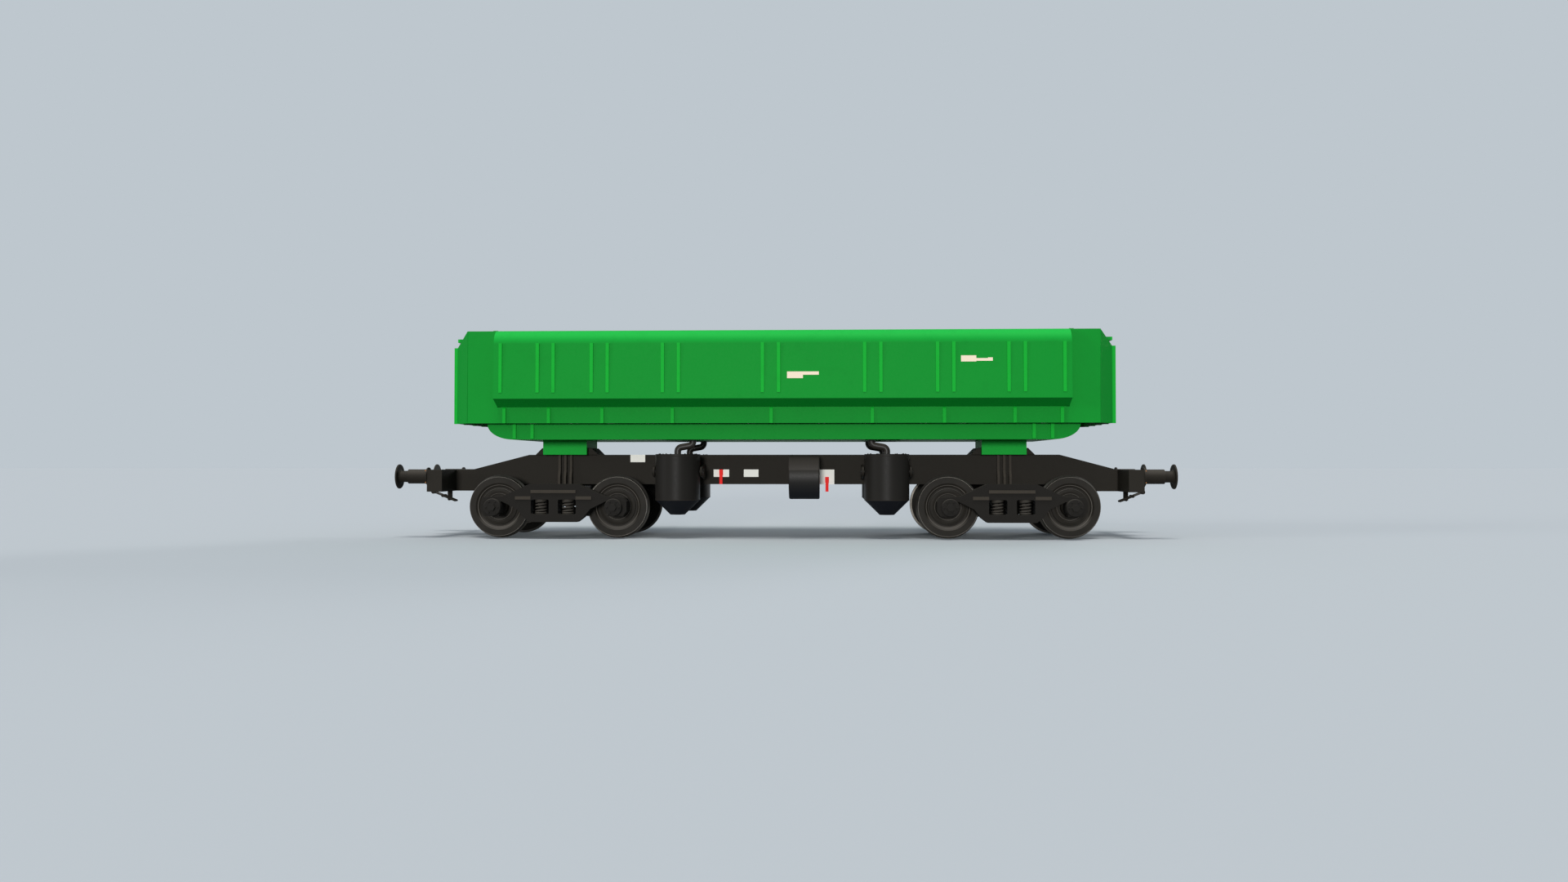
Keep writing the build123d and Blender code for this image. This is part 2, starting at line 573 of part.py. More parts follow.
def bow_outline(inset):
    """Side view of half the subframe, as a face in the XZ plane: a tub with an elliptical end."""
    lip_z = SUB_TOP - SUB_BOW_EDGE
    length, height = SUB_BOW_LENGTH - inset, lip_z - SUB_BOTTOM - inset
    end, bottom = SUB_BOW_X + length, lip_z - height
    turn = Plane.XZ * EllipticalCenterArc((SUB_BOW_X, lip_z), length, height, start_angle=270, arc_size=90)
    return face_of((
        Line((0, 0, bottom), (SUB_BOW_X, 0, bottom)), turn, Line((end, 0, lip_z), (end, 0, SUB_TOP)),
        Line((end, 0, SUB_TOP), (0, 0, SUB_TOP)), Line((0, 0, SUB_TOP), (0, 0, bottom)),
    ))


def subframe_floor():
    """The bottom plate of the subframe, butted from flat plates around the four cylinder ways."""
    way_x0, way_x1 = CYL_X - ROD_SHIFT - ROD_R - WAY_GAP, CYL_X + STAGE_R + WAY_GAP
    way_y0, way_y1 = CYL_Y - STAGE_R - WAY_SWING, CYL_Y + STAGE_R + WAY_GAP
    edge = SUB_HALF - WALL
    z0, z1 = SUB_BOTTOM, SUB_BOTTOM + PLATE
    plates = [block(-way_x0, way_x0, -edge, edge, z0, z1)]
    for x0, x1, y0, y1 in (
        (way_x0 + SEAM, way_x1 - SEAM, -way_y0, way_y0),
        (way_x0 + SEAM, way_x1 - SEAM, way_y1, edge),
        (way_x0 + SEAM, way_x1 - SEAM, -edge, -way_y1),
        (way_x1, SUB_BOW_X - SEAM, -edge, edge),
    ):
        plate = block(x0, x1, y0, y1, z0, z1)
        plates += [plate, across_x(plate)]
    return plates


def subframe_bow():
    """The rounded plate that closes the +X end of the subframe."""
    outer = extrude(bow_outline(0), amount=SUB_HALF - WALL, both=True)
    inner = extrude(bow_outline(PLATE), amount=SUB_HALF, both=True)
    return (outer - inner) & block(SUB_BOW_X, SUB_END_X, -SUB_HALF, SUB_HALF, SUB_BOTTOM, SUB_TOP)


def subframe_side():
    """The side plate of the subframe at +Y, with its four ribs."""
    keep = block(0, SUB_END_X, SUB_HALF - WALL, SUB_HALF, SUB_BOTTOM, SUB_TOP)
    plate = extrude(bow_outline(0), amount=SUB_HALF, both=True) & keep
    plate = plate + across_x(plate)
    rib_y = (SUB_HALF, SUB_HALF + RIB_DEPTH)
    for x in SUB_RIBS_X:
        rib = block(x - RIB_WIDTH / 2, x + RIB_WIDTH / 2, *rib_y, SUB_BOTTOM + 14, SUB_TOP)
        plate = plate + rib + across_x(rib)
    return plate


def cross_member(x):
    """A beam across the subframe that carries a station's bearings."""
    x0 = x + EYE_THICK / 2 + MOVING_GAP
    reach = SUB_HALF - WALL
    return block(x0, x0 + BEARING_WIDTH, -reach, reach, SUB_BOTTOM + PLATE, HINGE_Z - BEARING_DROP)


def hinge_bearing(x, open_above):
    """A bearing at +Y on its cross beam; the far ones open upward so that their shaft can lift out."""
    x0 = x + EYE_THICK / 2 + MOVING_GAP
    x1 = x0 + BEARING_WIDTH
    foot = HINGE_Z - BEARING_DROP
    if open_above:
        top = HINGE_Z + OPEN_BEARING_RISE
        body = block(x0, x1, HINGE_Y - BEARING_HALF, HINGE_Y + BEARING_HALF, foot, top)
        body = body - block(x0 - CUT, x1 + CUT, HINGE_Y - THROAT, HINGE_Y + THROAT, HINGE_Z, top + CUT)
    else:
        outline = [(HINGE_Y - BEARING_HALF, foot), (HINGE_Y + BEARING_HALF, foot),
                   (HINGE_Y + EYE_R, HINGE_Z), (HINGE_Y - EYE_R, HINGE_Z)]
        body = along_x(outline, x0, x1) + bar_x(x0, x1, HINGE_Y, HINGE_Z, EYE_R)
    return body - bar_x(x0 - CUT, x1 + CUT, HINGE_Y, HINGE_Z, SHAFT_R + RUNNING_GAP)


def cylinder_bracket():
    """The two arms that hang one cylinder from the sill's web, at +X, +Y, each with a round head."""
    arms = []
    for side in (-1, 1):
        near = CYL_X + side * (CYL_R + TRUNNION_GAP)
        x0, x1 = sorted((near, near + side * TRUNNION_ARM))
        outline = [(SILL_HALF, TRUNNION_Z - 130), (CYL_Y, TRUNNION_Z - TRUNNION_HEAD_R),
                   (CYL_Y, TRUNNION_Z + TRUNNION_HEAD_R), (SILL_HALF, TRUNNION_Z + 110)]
        arm = along_x(outline, x0, x1) + bar_x(x0, x1, CYL_Y, TRUNNION_Z, TRUNNION_HEAD_R)
        arms.append(arm - bar_x(x0 - CUT, x1 + CUT, CYL_Y, TRUNNION_Z, TRUNNION_R + RUNNING_GAP))
    return arms


def air_reservoir():
    """The compressed-air tank beside the sill, on its two pads."""
    x0, x1 = TANK_X
    profile = [(x0, 0), (x0, TANK_R - TANK_DISH), (x0 + TANK_DISH, TANK_R), (x1 - TANK_DISH, TANK_R),
               (x1, TANK_R - TANK_DISH), (x1, 0)]
    y = SILL_HALF + TANK_BRACKET + TANK_R
    z = SILL_TOP - TANK_R - 4
    tank = Pos(0, -y, z) * turned(profile, Axis.X)
    for x in (x0 + 110, x1 - 110):
        tank = tank + block(x - 30, x + 30, -SILL_HALF - 90, -SILL_HALF, z - 150, z + 150)
    return tank


def brake_levers():
    """Two hand levers of the brake gear on the near web, each on its own pad."""
    levers = []
    arm_out, pad_out = SILL_HALF + 42, SILL_HALF + PLATE
    for x, top in LEVERS:
        pad = block(x - 30, x + 30, -pad_out, -SILL_HALF, top - 90, top)
        arm = block(x - LEVER_WIDTH / 2, x + LEVER_WIDTH / 2, -arm_out, -pad_out, top - LEVER_LENGTH, top)
        levers.append(pad + arm)
    return levers


# Dump box

def box_plan(inset, z):
    """Plan of the box with its bevelled corners, as a face at a height, drawn in by a wall."""
    right = [(BOX_END_X, -BEVEL_Y), (BOX_END_X, BEVEL_Y), (BEVEL_X, BOX_HALF)]
    left = [(-BEVEL_X, BOX_HALF), (-BOX_END_X, BEVEL_Y), (-BOX_END_X, -BEVEL_Y)]
    plan = Polygon(*right, *left, (-BEVEL_X, -BOX_HALF), (BEVEL_X, -BOX_HALF))
    if inset:
        plan = offset(plan, -inset, kind=Kind.INTERSECTION)
    return Pos(0, 0, z) * plan


def hinge_lug(side):
    """The lug beside a door's top corner, with the pin that the door hangs on."""
    x0 = DOOR_HALF + MOVING_GAP
    y0, y1 = sorted((side * (DOOR_HINGE_Y - DOOR_EYE_R), side * (BOX_HALF - WALL)))
    lug = block(x0, x0 + LUG_LENGTH, y0, y1, DOOR_HINGE_Z - 70, BOX_TOP + LUG_RISE)
    lug = fillet(lug.edges().filter_by(Axis.X).group_by(Axis.Z)[-1], LUG_CORNER_R)
    return lug + bar_x(DOOR_HALF - 60, x0, side * DOOR_HINGE_Y, DOOR_HINGE_Z, DOOR_PIN_R)


def end_wall():
    """The +X end of the box: end plate, bevelled corners and the plates beside the doors."""
    height = BOX_TOP - BOX_BOTTOM
    outer = extrude(box_plan(0, BOX_BOTTOM), amount=height)
    inner = extrude(box_plan(WALL, BOX_BOTTOM - CUT), amount=height + 2 * CUT)
    reach = BOX_END_X + 200
    keep = block(DOOR_HALF, reach, -BOX_HALF, BOX_HALF, BOX_BOTTOM, BOX_TOP)
    slope = [(END_SLOPE_X, BOX_TOP), (BOX_END_X, END_SLOPE_Z), (reach, END_SLOPE_Z), (reach, BOX_TOP + CUT),
             (END_SLOPE_X, BOX_TOP + CUT)]
    slope_plate = [(END_SLOPE_X, BOX_TOP), (BOX_END_X, END_SLOPE_Z), (BOX_END_X - WALL, END_SLOPE_Z),
                   (END_SLOPE_X - WALL, BOX_TOP)]
    wall = (outer - inner) & keep
    wall = wall - along_y(slope, -BOX_HALF - CUT, BOX_HALF + CUT)
    pieces = [wall, along_y(slope_plate, -BOX_HALF, BOX_HALF) & outer]
    rib_reach = BEVEL_Y - 50
    for share in (-1, -0.5, 0, 0.5, 1):
        y = share * rib_reach
        pieces.append(block(BOX_END_X, BOX_END_X + END_RIB_DEPTH, y - RIB_WIDTH / 2, y + RIB_WIDTH / 2,
                            BOX_BOTTOM, END_SLOPE_Z))
    pieces.append(block(*END_BAR_X, 100 - BEVEL_Y, BEVEL_Y - 100, *END_BAR_Z))
    pieces += [hinge_lug(side) for side in (-1, 1)]
    return joined(pieces)


def side_sill():
    """The lower wall below a door, at +Y, with its ribs."""
    top = DOOR_SILL_Z - MOVING_GAP
    rib_out = BOX_HALF + RIB_DEPTH
    wall = block(-DOOR_HALF, DOOR_HALF, BOX_HALF - WALL, BOX_HALF, BOX_BOTTOM, top)
    outline = [(BOX_HALF, BOX_BOTTOM), (rib_out, BOX_BOTTOM), (rib_out, top - RIB_DEPTH), (BOX_HALF, top)]
    for x in (-RIB_END_X, *RIB_PAIRS_X, RIB_END_X):
        wall = wall + along_x(outline, x - RIB_WIDTH / 2, x + RIB_WIDTH / 2)
    return wall


def hinge_leg(x, closed):
    """A leg of the floor that holds a hinge shaft at +Y: a closed eye, or a jaw that opens downward."""
    y, z = HINGE_Y, HINGE_Z
    beam_z = FLOOR_TOP - PLATE - FLOOR_BEAM_DEPTH
    x0, x1 = x - EYE_THICK / 2, x + EYE_THICK / 2
    outline = [(y - 6, z), (y - 6, beam_z), (y - 110, beam_z), (y - 110, z + 40), (y - EYE_R, z - 20), (y, z)]
    leg = along_x(outline, x0, x1) + bar_x(x0, x1, y, z, EYE_R)
    leg = leg - bar_x(x0 - CUT, x1 + CUT, y, z, SHAFT_R + RUNNING_GAP)
    if not closed:
        leg = leg - block(x0 - CUT, x1 + CUT, y - THROAT, y + THROAT, z - EYE_R - CUT, z)
    return leg


def clevis(x):
    """The two bored cheeks below the floor that take the head of a cylinder's rod, at +Y."""
    top_z = FLOOR_TOP - PLATE
    cheeks = []
    for side in (-1, 1):
        near = x + side * (ROD_EYE_HALF + MOVING_GAP)
        x0, x1 = sorted((near, near + side * CLEVIS_PLATE))
        outline = [(CYL_Y - 2 * ROD_EYE_R, top_z), (CYL_Y - ROD_EYE_R, ROD_EYE_Z),
                   (CYL_Y + ROD_EYE_R, ROD_EYE_Z), (CYL_Y + 2 * ROD_EYE_R, top_z)]
        cheek = along_x(outline, x0, x1) + bar_x(x0, x1, CYL_Y, ROD_EYE_Z, ROD_EYE_R)
        cheeks.append(cheek - bar_x(x0 - CUT, x1 + CUT, CYL_Y, ROD_EYE_Z, ROD_PIN_R))
    return cheeks


def floor():
    """The floor plate with its cross beams, hinge legs and rod clevises."""
    plate_z = FLOOR_TOP - PLATE
    beam_z = plate_z - FLOOR_BEAM_DEPTH
    half = BOX_HALF - WALL
    pieces = [extrude(box_plan(WALL, plate_z), amount=PLATE)]
    for x in FLOOR_BEAMS_X:
        beam = block(x - FLOOR_BEAM_HALF, x + FLOOR_BEAM_HALF, -half, half, beam_z, plate_z)
        pieces += [beam, across_x(beam)]
    for x in HINGE_STATIONS:
        pieces += [hinge_leg(x, True), across_y(hinge_leg(x, False))]
    for cheek in clevis(CYL_X - ROD_SHIFT):
        pieces += four(cheek)
    return joined(pieces)


# Doors

def roll_point(radius, angle):
    """A point of a door's rolled top, as (y, z), at an angle up from level."""
    return (BOX_HALF + radius * cos(radians(angle)), BOX_TOP - DOOR_ROLL_R + radius * sin(radians(angle)))


def door_profile():
    """The door's plate in section, as a face in the YZ plane."""
    inner_r = DOOR_ROLL_R - WALL
    sill_y = BOX_HALF + MOVING_GAP
    outer_foot, inner_foot = (sill_y, DOOR_SILL_Z), (sill_y, DOOR_SILL_Z + WALL * 1.15)
    outer_edge = (DOOR_FOOT_OUT_Y, DOOR_EDGE_Z)
    inner_edge = (DOOR_FOOT_OUT_Y - WALL, DOOR_EDGE_Z + WALL * 0.6)
    outer = [roll_point(DOOR_ROLL_R, angle) for angle in (0, 45, 90)]
    inner = [roll_point(inner_r, angle) for angle in (90, 45, 0)]

    def line(start, end):
        return Line((0, *start), (0, *end))

    def roll(points):
        return ThreePointArc(*((0, *point) for point in points))

    return face_of((
        line(outer_foot, outer_edge), line(outer_edge, outer[0]), roll(outer), line(outer[-1], inner[0]),
        roll(inner), line(inner[-1], inner_edge), line(inner_edge, inner_foot), line(inner_foot, outer_foot),
    ))


def door_end_outline():
    """The closing plate at a door's end, as (y, z), with the ear that carries its hinge."""
    sill_y = BOX_HALF + MOVING_GAP
    foot = [(sill_y, DOOR_SILL_Z), (DOOR_FOOT_OUT_Y, DOOR_EDGE_Z)]
    roll = [roll_point(DOOR_ROLL_R, angle) for angle in (0, 22.5, 45, 67.5, 90)]
    ear = [(DOOR_HINGE_Y, BOX_TOP - MOVING_GAP), (DOOR_HINGE_Y, DOOR_HINGE_Z - DOOR_EYE_R),
           (sill_y, DOOR_HINGE_Z - 2 * DOOR_EYE_R)]
    return foot + roll + ear


def door():
    """A side door at +Y: one bent plate, two end plates with hinge ears, and its ribs."""
    half = DOOR_HALF - MOVING_GAP
    pieces = [extrude(door_profile(), amount=half, both=True)]
    for side in (-1, 1):
        x0, x1 = sorted((side * half, side * (half - WALL)))
        end = along_x(door_end_outline(), x0, x1) + bar_x(x0, x1, DOOR_HINGE_Y, DOOR_HINGE_Z, DOOR_EYE_R)
        pieces.append(end - bar_x(x0 - CUT, x1 + CUT, DOOR_HINGE_Y, DOOR_HINGE_Z, DOOR_PIN_R + RUNNING_GAP))
    outline = [(DOOR_FOOT_OUT_Y - 2, DOOR_RIB_FOOT), (DOOR_FOOT_OUT_Y + 4, DOOR_RIB_FOOT),
               (DOOR_OUT_Y + RIB_DEPTH, DOOR_RIB_TOP), (DOOR_OUT_Y - 2, DOOR_RIB_TOP)]
    pairs = [x + side * RIB_PAIR_GAP / 2 for x in RIB_PAIRS_X for side in (-1, 1)]
    for x in (-RIB_END_X, *pairs, RIB_END_X):
        pieces.append(along_x(outline, x - RIB_WIDTH / 2, x + RIB_WIDTH / 2))
    return joined(pieces)


# Dump cylinders, at +X, +Y

def cylinder_barrel():
    """The barrel: a wide drum on a tapered foot, its lid bored for the first stage, and its trunnions."""
    lid = CYL_TOP - CYL_WALL
    hole = STAGE_R + RUNNING_GAP
    slant = CYL_WALL * 1.4
    profile = [
        (0, CYL_BOTTOM), (CYL_FOOT_R, CYL_BOTTOM), (CYL_R, CYL_SKIRT), (CYL_R, CYL_TOP), (hole, CYL_TOP),
        (hole, lid), (CYL_R - CYL_WALL, lid), (CYL_R - CYL_WALL, CYL_SKIRT + 10),
        (CYL_FOOT_R - 10, CYL_BOTTOM + slant), (0, CYL_BOTTOM + slant),
    ]
    pieces = [Pos(CYL_X, CYL_Y, 0) * Rot(90, 0, 0) * turned(profile, Axis.Y)]
    for side in (-1, 1):
        root, tip = CYL_X + side * (CYL_R - 10), CYL_X + side * (CYL_R + TRUNNION_GAP + TRUNNION_ARM)
        pieces.append(bar_x(*sorted((root, tip)), CYL_Y, TRUNNION_Z, TRUNNION_R))
    return joined(pieces)


def cylinder_stage():
    """The middle stage, closed on top but for the rod, drawn in."""
    top = CYL_TOP - STAGE_SINK
    tube = bar_z(STAGE_FOOT, top, CYL_X, CYL_Y, STAGE_R)
    bore = bar_z(STAGE_FOOT - CUT, top - STAGE_WALL, CYL_X, CYL_Y, STAGE_R - STAGE_WALL)
    return tube - bore - bar_z(STAGE_FOOT, top + CUT, CYL_X, CYL_Y, ROD_R + RUNNING_GAP)


def cylinder_rod():
    """The rod with its swan neck and the bored eye at its head."""
    bend = radians(ROD_BEND_ANGLE)
    rise = sin(bend) * ROD_BEND_R
    reach = (1 - cos(bend)) * ROD_BEND_R
    slant = (ROD_SHIFT - 2 * reach) / sin(bend)
    z0, z1 = STAGE_FOOT + 10, ROD_NECK_Z
    z2 = z1 + rise
    z3 = z2 + slant * cos(bend)
    z4 = z3 + rise
    x1, x4 = CYL_X, CYL_X - ROD_SHIFT
    x2, x3 = x1 - reach, x4 + reach
    parts = (
        Line((x1, CYL_Y, z0), (x1, CYL_Y, z1)),
        arc_xz(x1 - ROD_BEND_R, z1, ROD_BEND_R, 0, ROD_BEND_ANGLE, CYL_Y),
        Line((x2, CYL_Y, z2), (x3, CYL_Y, z3)),
        arc_xz(x4 + ROD_BEND_R, z4, ROD_BEND_R, 180 + ROD_BEND_ANGLE, 180, CYL_Y),
        Line((x4, CYL_Y, z4), (x4, CYL_Y, ROD_EYE_Z - 20)),
    )
    path = Wire([edge for part in parts for edge in part.edges()])
    rod = sweep(Pos(x1, CYL_Y, z0) * Circle(ROD_R), path=path)
    eye_x = (x4 - ROD_EYE_HALF, x4 + ROD_EYE_HALF)
    eye = bar_x(*eye_x, CYL_Y, ROD_EYE_Z, ROD_EYE_R)
    return rod + eye - bar_x(eye_x[0] - CUT, eye_x[1] + CUT, CYL_Y, ROD_EYE_Z, ROD_PIN_R)


def write_cylinders():
    pieces = (("barrel", cylinder_barrel()), ("stage", cylinder_stage()), ("rod", cylinder_rod()))
    places = ("b_far", "a_far", "b_near", "a_near")
    for kind, piece in pieces:
        for place, each in zip(places, four(piece)):
            write(f"{kind}_{place}", [each])


write_bogie("a", -BOGIE_X)
write_bogie("b", BOGIE_X)
write("centre_sill", [centre_sill()])
write("headstock_a", [across_x(headstock())])
write("headstock_b", [headstock()])
write("buffer_housings", four(buffer_housing()))
write("buffer_heads", four(buffer_head()))
write("draw_hooks", [draw_hook(), across_x(draw_hook())])
couplings = [screw_coupling(), coupling_rest()]
write("screw_couplings", couplings + [across_x(piece) for piece in couplings])
write("pedestals", [pedestal(), across_x(pedestal())])
write("saddles", [saddle(), across_x(saddle())])
write("subframe_floor", subframe_floor())
write("subframe_bows", [subframe_bow(), across_x(subframe_bow())])
write("subframe_side_far", [subframe_side()])
write("subframe_side_near", [across_y(subframe_side())])
write("subframe_beams", [cross_member(x) for x in HINGE_STATIONS])
write("hinge_bearings_near", [across_y(hinge_bearing(x, False)) for x in HINGE_STATIONS])
write("hinge_bearings_far", [hinge_bearing(x, True) for x in HINGE_STATIONS])
write("hinge_shaft_near", [bar_x(-SHAFT_HALF, SHAFT_HALF, -HINGE_Y, HINGE_Z, SHAFT_R)])
write("hinge_shaft_far", [bar_x(-SHAFT_HALF, SHAFT_HALF, HINGE_Y, HINGE_Z, SHAFT_R)])
write("cylinder_brackets", [each for arm in cylinder_bracket() for each in four(arm)])
write("air_reservoir", [air_reservoir()])
write("brake_levers", brake_levers())
write("floor", [floor()])
write("side_sill_far", [side_sill()])
write("side_sill_near", [across_y(side_sill())])
write("end_wall_b", [end_wall()])
write("end_wall_a", [across_x(end_wall())])
write("door_far", [door()])
write("door_near", [across_y(door())])
write_cylinders()
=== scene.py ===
import json
import math

import bmesh
import bpy
from mathutils import Matrix, Vector


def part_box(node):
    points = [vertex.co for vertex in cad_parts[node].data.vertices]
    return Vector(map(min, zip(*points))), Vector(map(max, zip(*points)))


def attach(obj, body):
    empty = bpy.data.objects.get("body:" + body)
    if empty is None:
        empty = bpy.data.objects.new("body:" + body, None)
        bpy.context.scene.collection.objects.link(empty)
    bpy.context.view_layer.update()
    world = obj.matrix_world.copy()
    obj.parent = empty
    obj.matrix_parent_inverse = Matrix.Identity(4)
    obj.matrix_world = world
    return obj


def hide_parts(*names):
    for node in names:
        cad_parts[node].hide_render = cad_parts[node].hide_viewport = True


# The looks of a side-tipping dump car, in metres.
# +X runs along the car, +Z is up and the near side is at -Y.
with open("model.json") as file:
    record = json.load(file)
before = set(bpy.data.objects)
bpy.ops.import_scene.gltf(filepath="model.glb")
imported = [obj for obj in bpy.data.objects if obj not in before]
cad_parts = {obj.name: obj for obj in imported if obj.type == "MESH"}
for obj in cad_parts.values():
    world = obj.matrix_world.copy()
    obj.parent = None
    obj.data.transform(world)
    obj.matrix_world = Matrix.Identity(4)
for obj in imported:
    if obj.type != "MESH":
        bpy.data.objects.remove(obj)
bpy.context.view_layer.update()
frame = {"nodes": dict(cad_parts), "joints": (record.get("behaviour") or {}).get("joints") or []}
nodes = frame["nodes"]

# Boxes that the frame gives
WHEEL_LOW, WHEEL_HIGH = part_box("wheelset_b2")
BARREL_LOW, BARREL_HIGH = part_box("barrel_b_far")
HOUSING_LOW, HOUSING_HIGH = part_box("buffer_housings")
TANK_LOW, TANK_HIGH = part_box("air_reservoir")

# Along the car
BOGIE_X = max(joint["pos_m"][0] for joint in frame["joints"] if joint["name"].endswith("swivel"))
AXLE_X = (WHEEL_LOW.x + WHEEL_HIGH.x) / 2 - BOGIE_X     # from a bogie's centre to its axles
HEADSTOCK_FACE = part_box("headstock_b")[1].x
HEADSTOCK_BACK = HEADSTOCK_FACE - 0.235
BUFFER_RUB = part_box("buffer_heads")[1].x - 0.009        # what lies beyond rubs on the next car
BOX_END_X = 4.99
BEVEL_X = BOX_END_X - 0.224      # where a bevelled corner starts
DOOR_INNER_X = 4.292             # inner end of a door

# Across it
SILL_WEB = 0.27                  # outer face of the centre sill's web
SADDLE_HALF = SILL_WEB + 0.15
PEDESTAL_HALF = SILL_WEB + 0.03
BOX_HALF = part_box("end_wall_b")[1].y
BEVEL_Y = BOX_HALF - 0.241
DOOR_FOOT_Y = 1.485              # outer face of a door's panel at its foot
DOOR_LEAN = 0.03                 # how far the panel leans in for each metre up
LOWER_WALL_Y = 1.2435            # what lies beyond is a rib, here and on the next two
SUB_SIDE_Y = 1.0825
SIDE_FRAME_Y = 1.1315

# Heights
AXLE_Z = (WHEEL_LOW.z + WHEEL_HIGH.z) / 2
WHEEL_R = 0.46
RAIL = AXLE_Z - WHEEL_R
BUFFER_Z = (HOUSING_LOW.z + HOUSING_HIGH.z) / 2
SILL_END_Z = AXLE_Z + 0.23       # bottom of the sill at its ends
SILL_TOP = RAIL + 1.264
SUB_BOTTOM = RAIL + 1.49
BOX_FOOT = RAIL + 1.734
BOX_TOP = BOX_FOOT + 1.4
END_SLOPE_Z = BOX_TOP - 0.229    # where an end wall starts to slope
FLOOR_TOP = RAIL + 1.872
DOOR_FOOT_Z = RAIL + 2.094
DOOR_RIB_TOP = RAIL + 2.928
ROLL_FOOT = RAIL + 2.915         # where a door's leaning panel meets its roll
BARREL_CONE_Z = BARREL_HIGH.z - 0.704

# The top of a dump cylinder's barrel, on its axis
CYLINDER = (BARREL_LOW + BARREL_HIGH) / 2
CYLINDER.z = BARREL_HIGH.z

# Inner faces of the box as planes: two shares of the normal, and the distance from the origin
FOOT_PLANE = (-0.417, 0.909, 1.3136)     # a door's sloping foot, in Y and Z
BEVEL_PLANE = (0.733, 0.681, 4.334)      # a bevelled corner, in X and Y
SLOPE_PLANE = (0.716, 0.698, 5.616)      # an end wall's sloping top, in X and Z

# Painted highlight rings on a wheel's face, where its edges catch the light: inner and outer
# radius, and how strong each is
WHEEL_HIGHLIGHT_RINGS = ((0.327, 0.336, 0.75), (0.197, 0.204, 0.65), (0.4515, 0.4562, 0.6))
TREAD_Y = (0.676, 0.8165)        # inner and outer edge of a wheel's tread

# Colours as they show on the car
GREEN = (13, 140, 44)
# Painted highlight on the front faces of the box's ribs
RIB_HIGHLIGHT_GREEN = (18, 168, 49)
# Painted highlight on a door's rolled top
ROLL_HIGHLIGHT_GREEN = (30, 176, 66)
SADDLE_PAINTED_LIGHT_GREEN = (22, 164, 56)     # painted light: lighter than the green, to make up for the box's shade over the saddles
DARK = (41, 38, 33)
SHADE_DARK = (33, 31, 28)
# Painted highlight on the front faces of gussets and of the side frames' ribs
DARK_RIB_HIGHLIGHT = (61, 56, 49)
BARREL_WELD = (50, 46, 41)
ROD = (46, 42, 38)
SPRING = (54, 51, 46)
# Painted shade on what faces down: a barrel's cone and the reservoir's lower part
UNDERSIDE_SHADE = (18, 20, 25)
# Painted highlight on the top of the reservoir
TANK_TOP_HIGHLIGHT = (65, 61, 56)
# Dust, and painted light from above, on what faces up
DUST_AND_TOP_LIGHT = (104, 98, 90)
# Painted highlight on a wheel's rings and, with dust, on what faces up
RING_HIGHLIGHT = (112, 107, 100)
SCRAPED_STEEL = (120, 112, 102)
STEEL = (92, 88, 82)
COPPER = (172, 112, 62)
WHITE = (252, 250, 240)
CREAM = (240, 222, 196)
RED = (255, 40, 36)
PALE = (190, 199, 206)           # floor and backdrop


def linear(colour):
    """A colour of 0 to 255 as it shows, as the linear colour that a shader wants."""
    out = []
    for channel in colour:
        share = channel / 255
        out.append(share / 12.92 if share <= 0.04045 else ((share + 0.055) / 1.055) ** 2.4)
    return (*out, 1.0)


def shade(colour, factor):
    return (*(channel * factor for channel in colour[:3]), 1.0)


# Shader maths as expressions

class Value:
    """A socket whose maths adds Math nodes to its tree."""

    def __init__(self, tree, socket):
        self.tree, self.socket = tree, socket

    def _math(self, operation, *items):
        node = self.tree.nodes.new("ShaderNodeMath")
        node.operation = operation
        for socket, item in zip(node.inputs, items):
            if isinstance(item, Value):
                self.tree.links.new(item.socket, socket)
            else:
                socket.default_value = item
        return Value(self.tree, node.outputs[0])

    def __add__(self, other):
        return self._math("ADD", self, other)

    def __radd__(self, other):
        return self._math("ADD", other, self)

    def __sub__(self, other):
        return self._math("SUBTRACT", self, other)

    def __rsub__(self, other):
        return self._math("SUBTRACT", other, self)

    def __mul__(self, other):
        return self._math("MULTIPLY", self, other)

    def __rmul__(self, other):
        return self._math("MULTIPLY", other, self)

    def __gt__(self, other):
        return self._math("GREATER_THAN", self, other)

    def __lt__(self, other):
        return self._math("LESS_THAN", self, other)

    def __abs__(self):
        return self._math("ABSOLUTE", self)

    def most(self, other):
        return self._math("MAXIMUM", self, other)

    def root(self):
        return self._math("SQRT", self)

    def clamped(self):
        return self._math("MINIMUM", self, 1.0).most(0.0)

    def rise(self, start, slope):
        """0 up to a start, and from there up to 1 with a slope."""
        return ((self - start) * slope).clamped()

    def spread(self, amount, middle):
        """Noise, which lies about a half, stretched by an amount about another middle."""
        return (self - 0.5) * amount + middle


class Shader:
    """The nodes of a material or of the world, and the tools that build them."""

    def __init__(self, owner):
        owner.use_nodes = True
        self.tree = owner.node_tree

    def add(self, kind, settings=None, output=0, **inputs):
        """Adds a node: its settings come first, then the values or links of its sockets."""
        node = self.tree.nodes.new(kind)
        for key, value in (settings or {}).items():
            setattr(node, key, value)
        for key, value in inputs.items():
            self.put(node, key.replace("_", " "), value)
        return Value(self.tree, node.outputs[output])

    def put(self, node, key, value):
        """Sets or links a socket by its name, or by its number as in i0."""
        numbered = key[0] == "i" and key[1:].isdigit()
        socket = node.inputs[int(key[1:]) if numbered else key]
        if isinstance(value, Value):
            self.tree.links.new(value.socket, socket)
        else:
            socket.default_value = value

    def outputs(self, kind, **inputs):
        """A node's outputs by name."""
        node = self.add(kind, **inputs).socket.node
        return {out.name: Value(self.tree, out) for out in node.outputs}

    def mix(self, factor, first, second):
        """Two colours, each a colour or a link, mixed by a factor."""
        return self.add("ShaderNodeMix", {"data_type": "RGBA"}, 2, i0=factor, i6=first, i7=second)


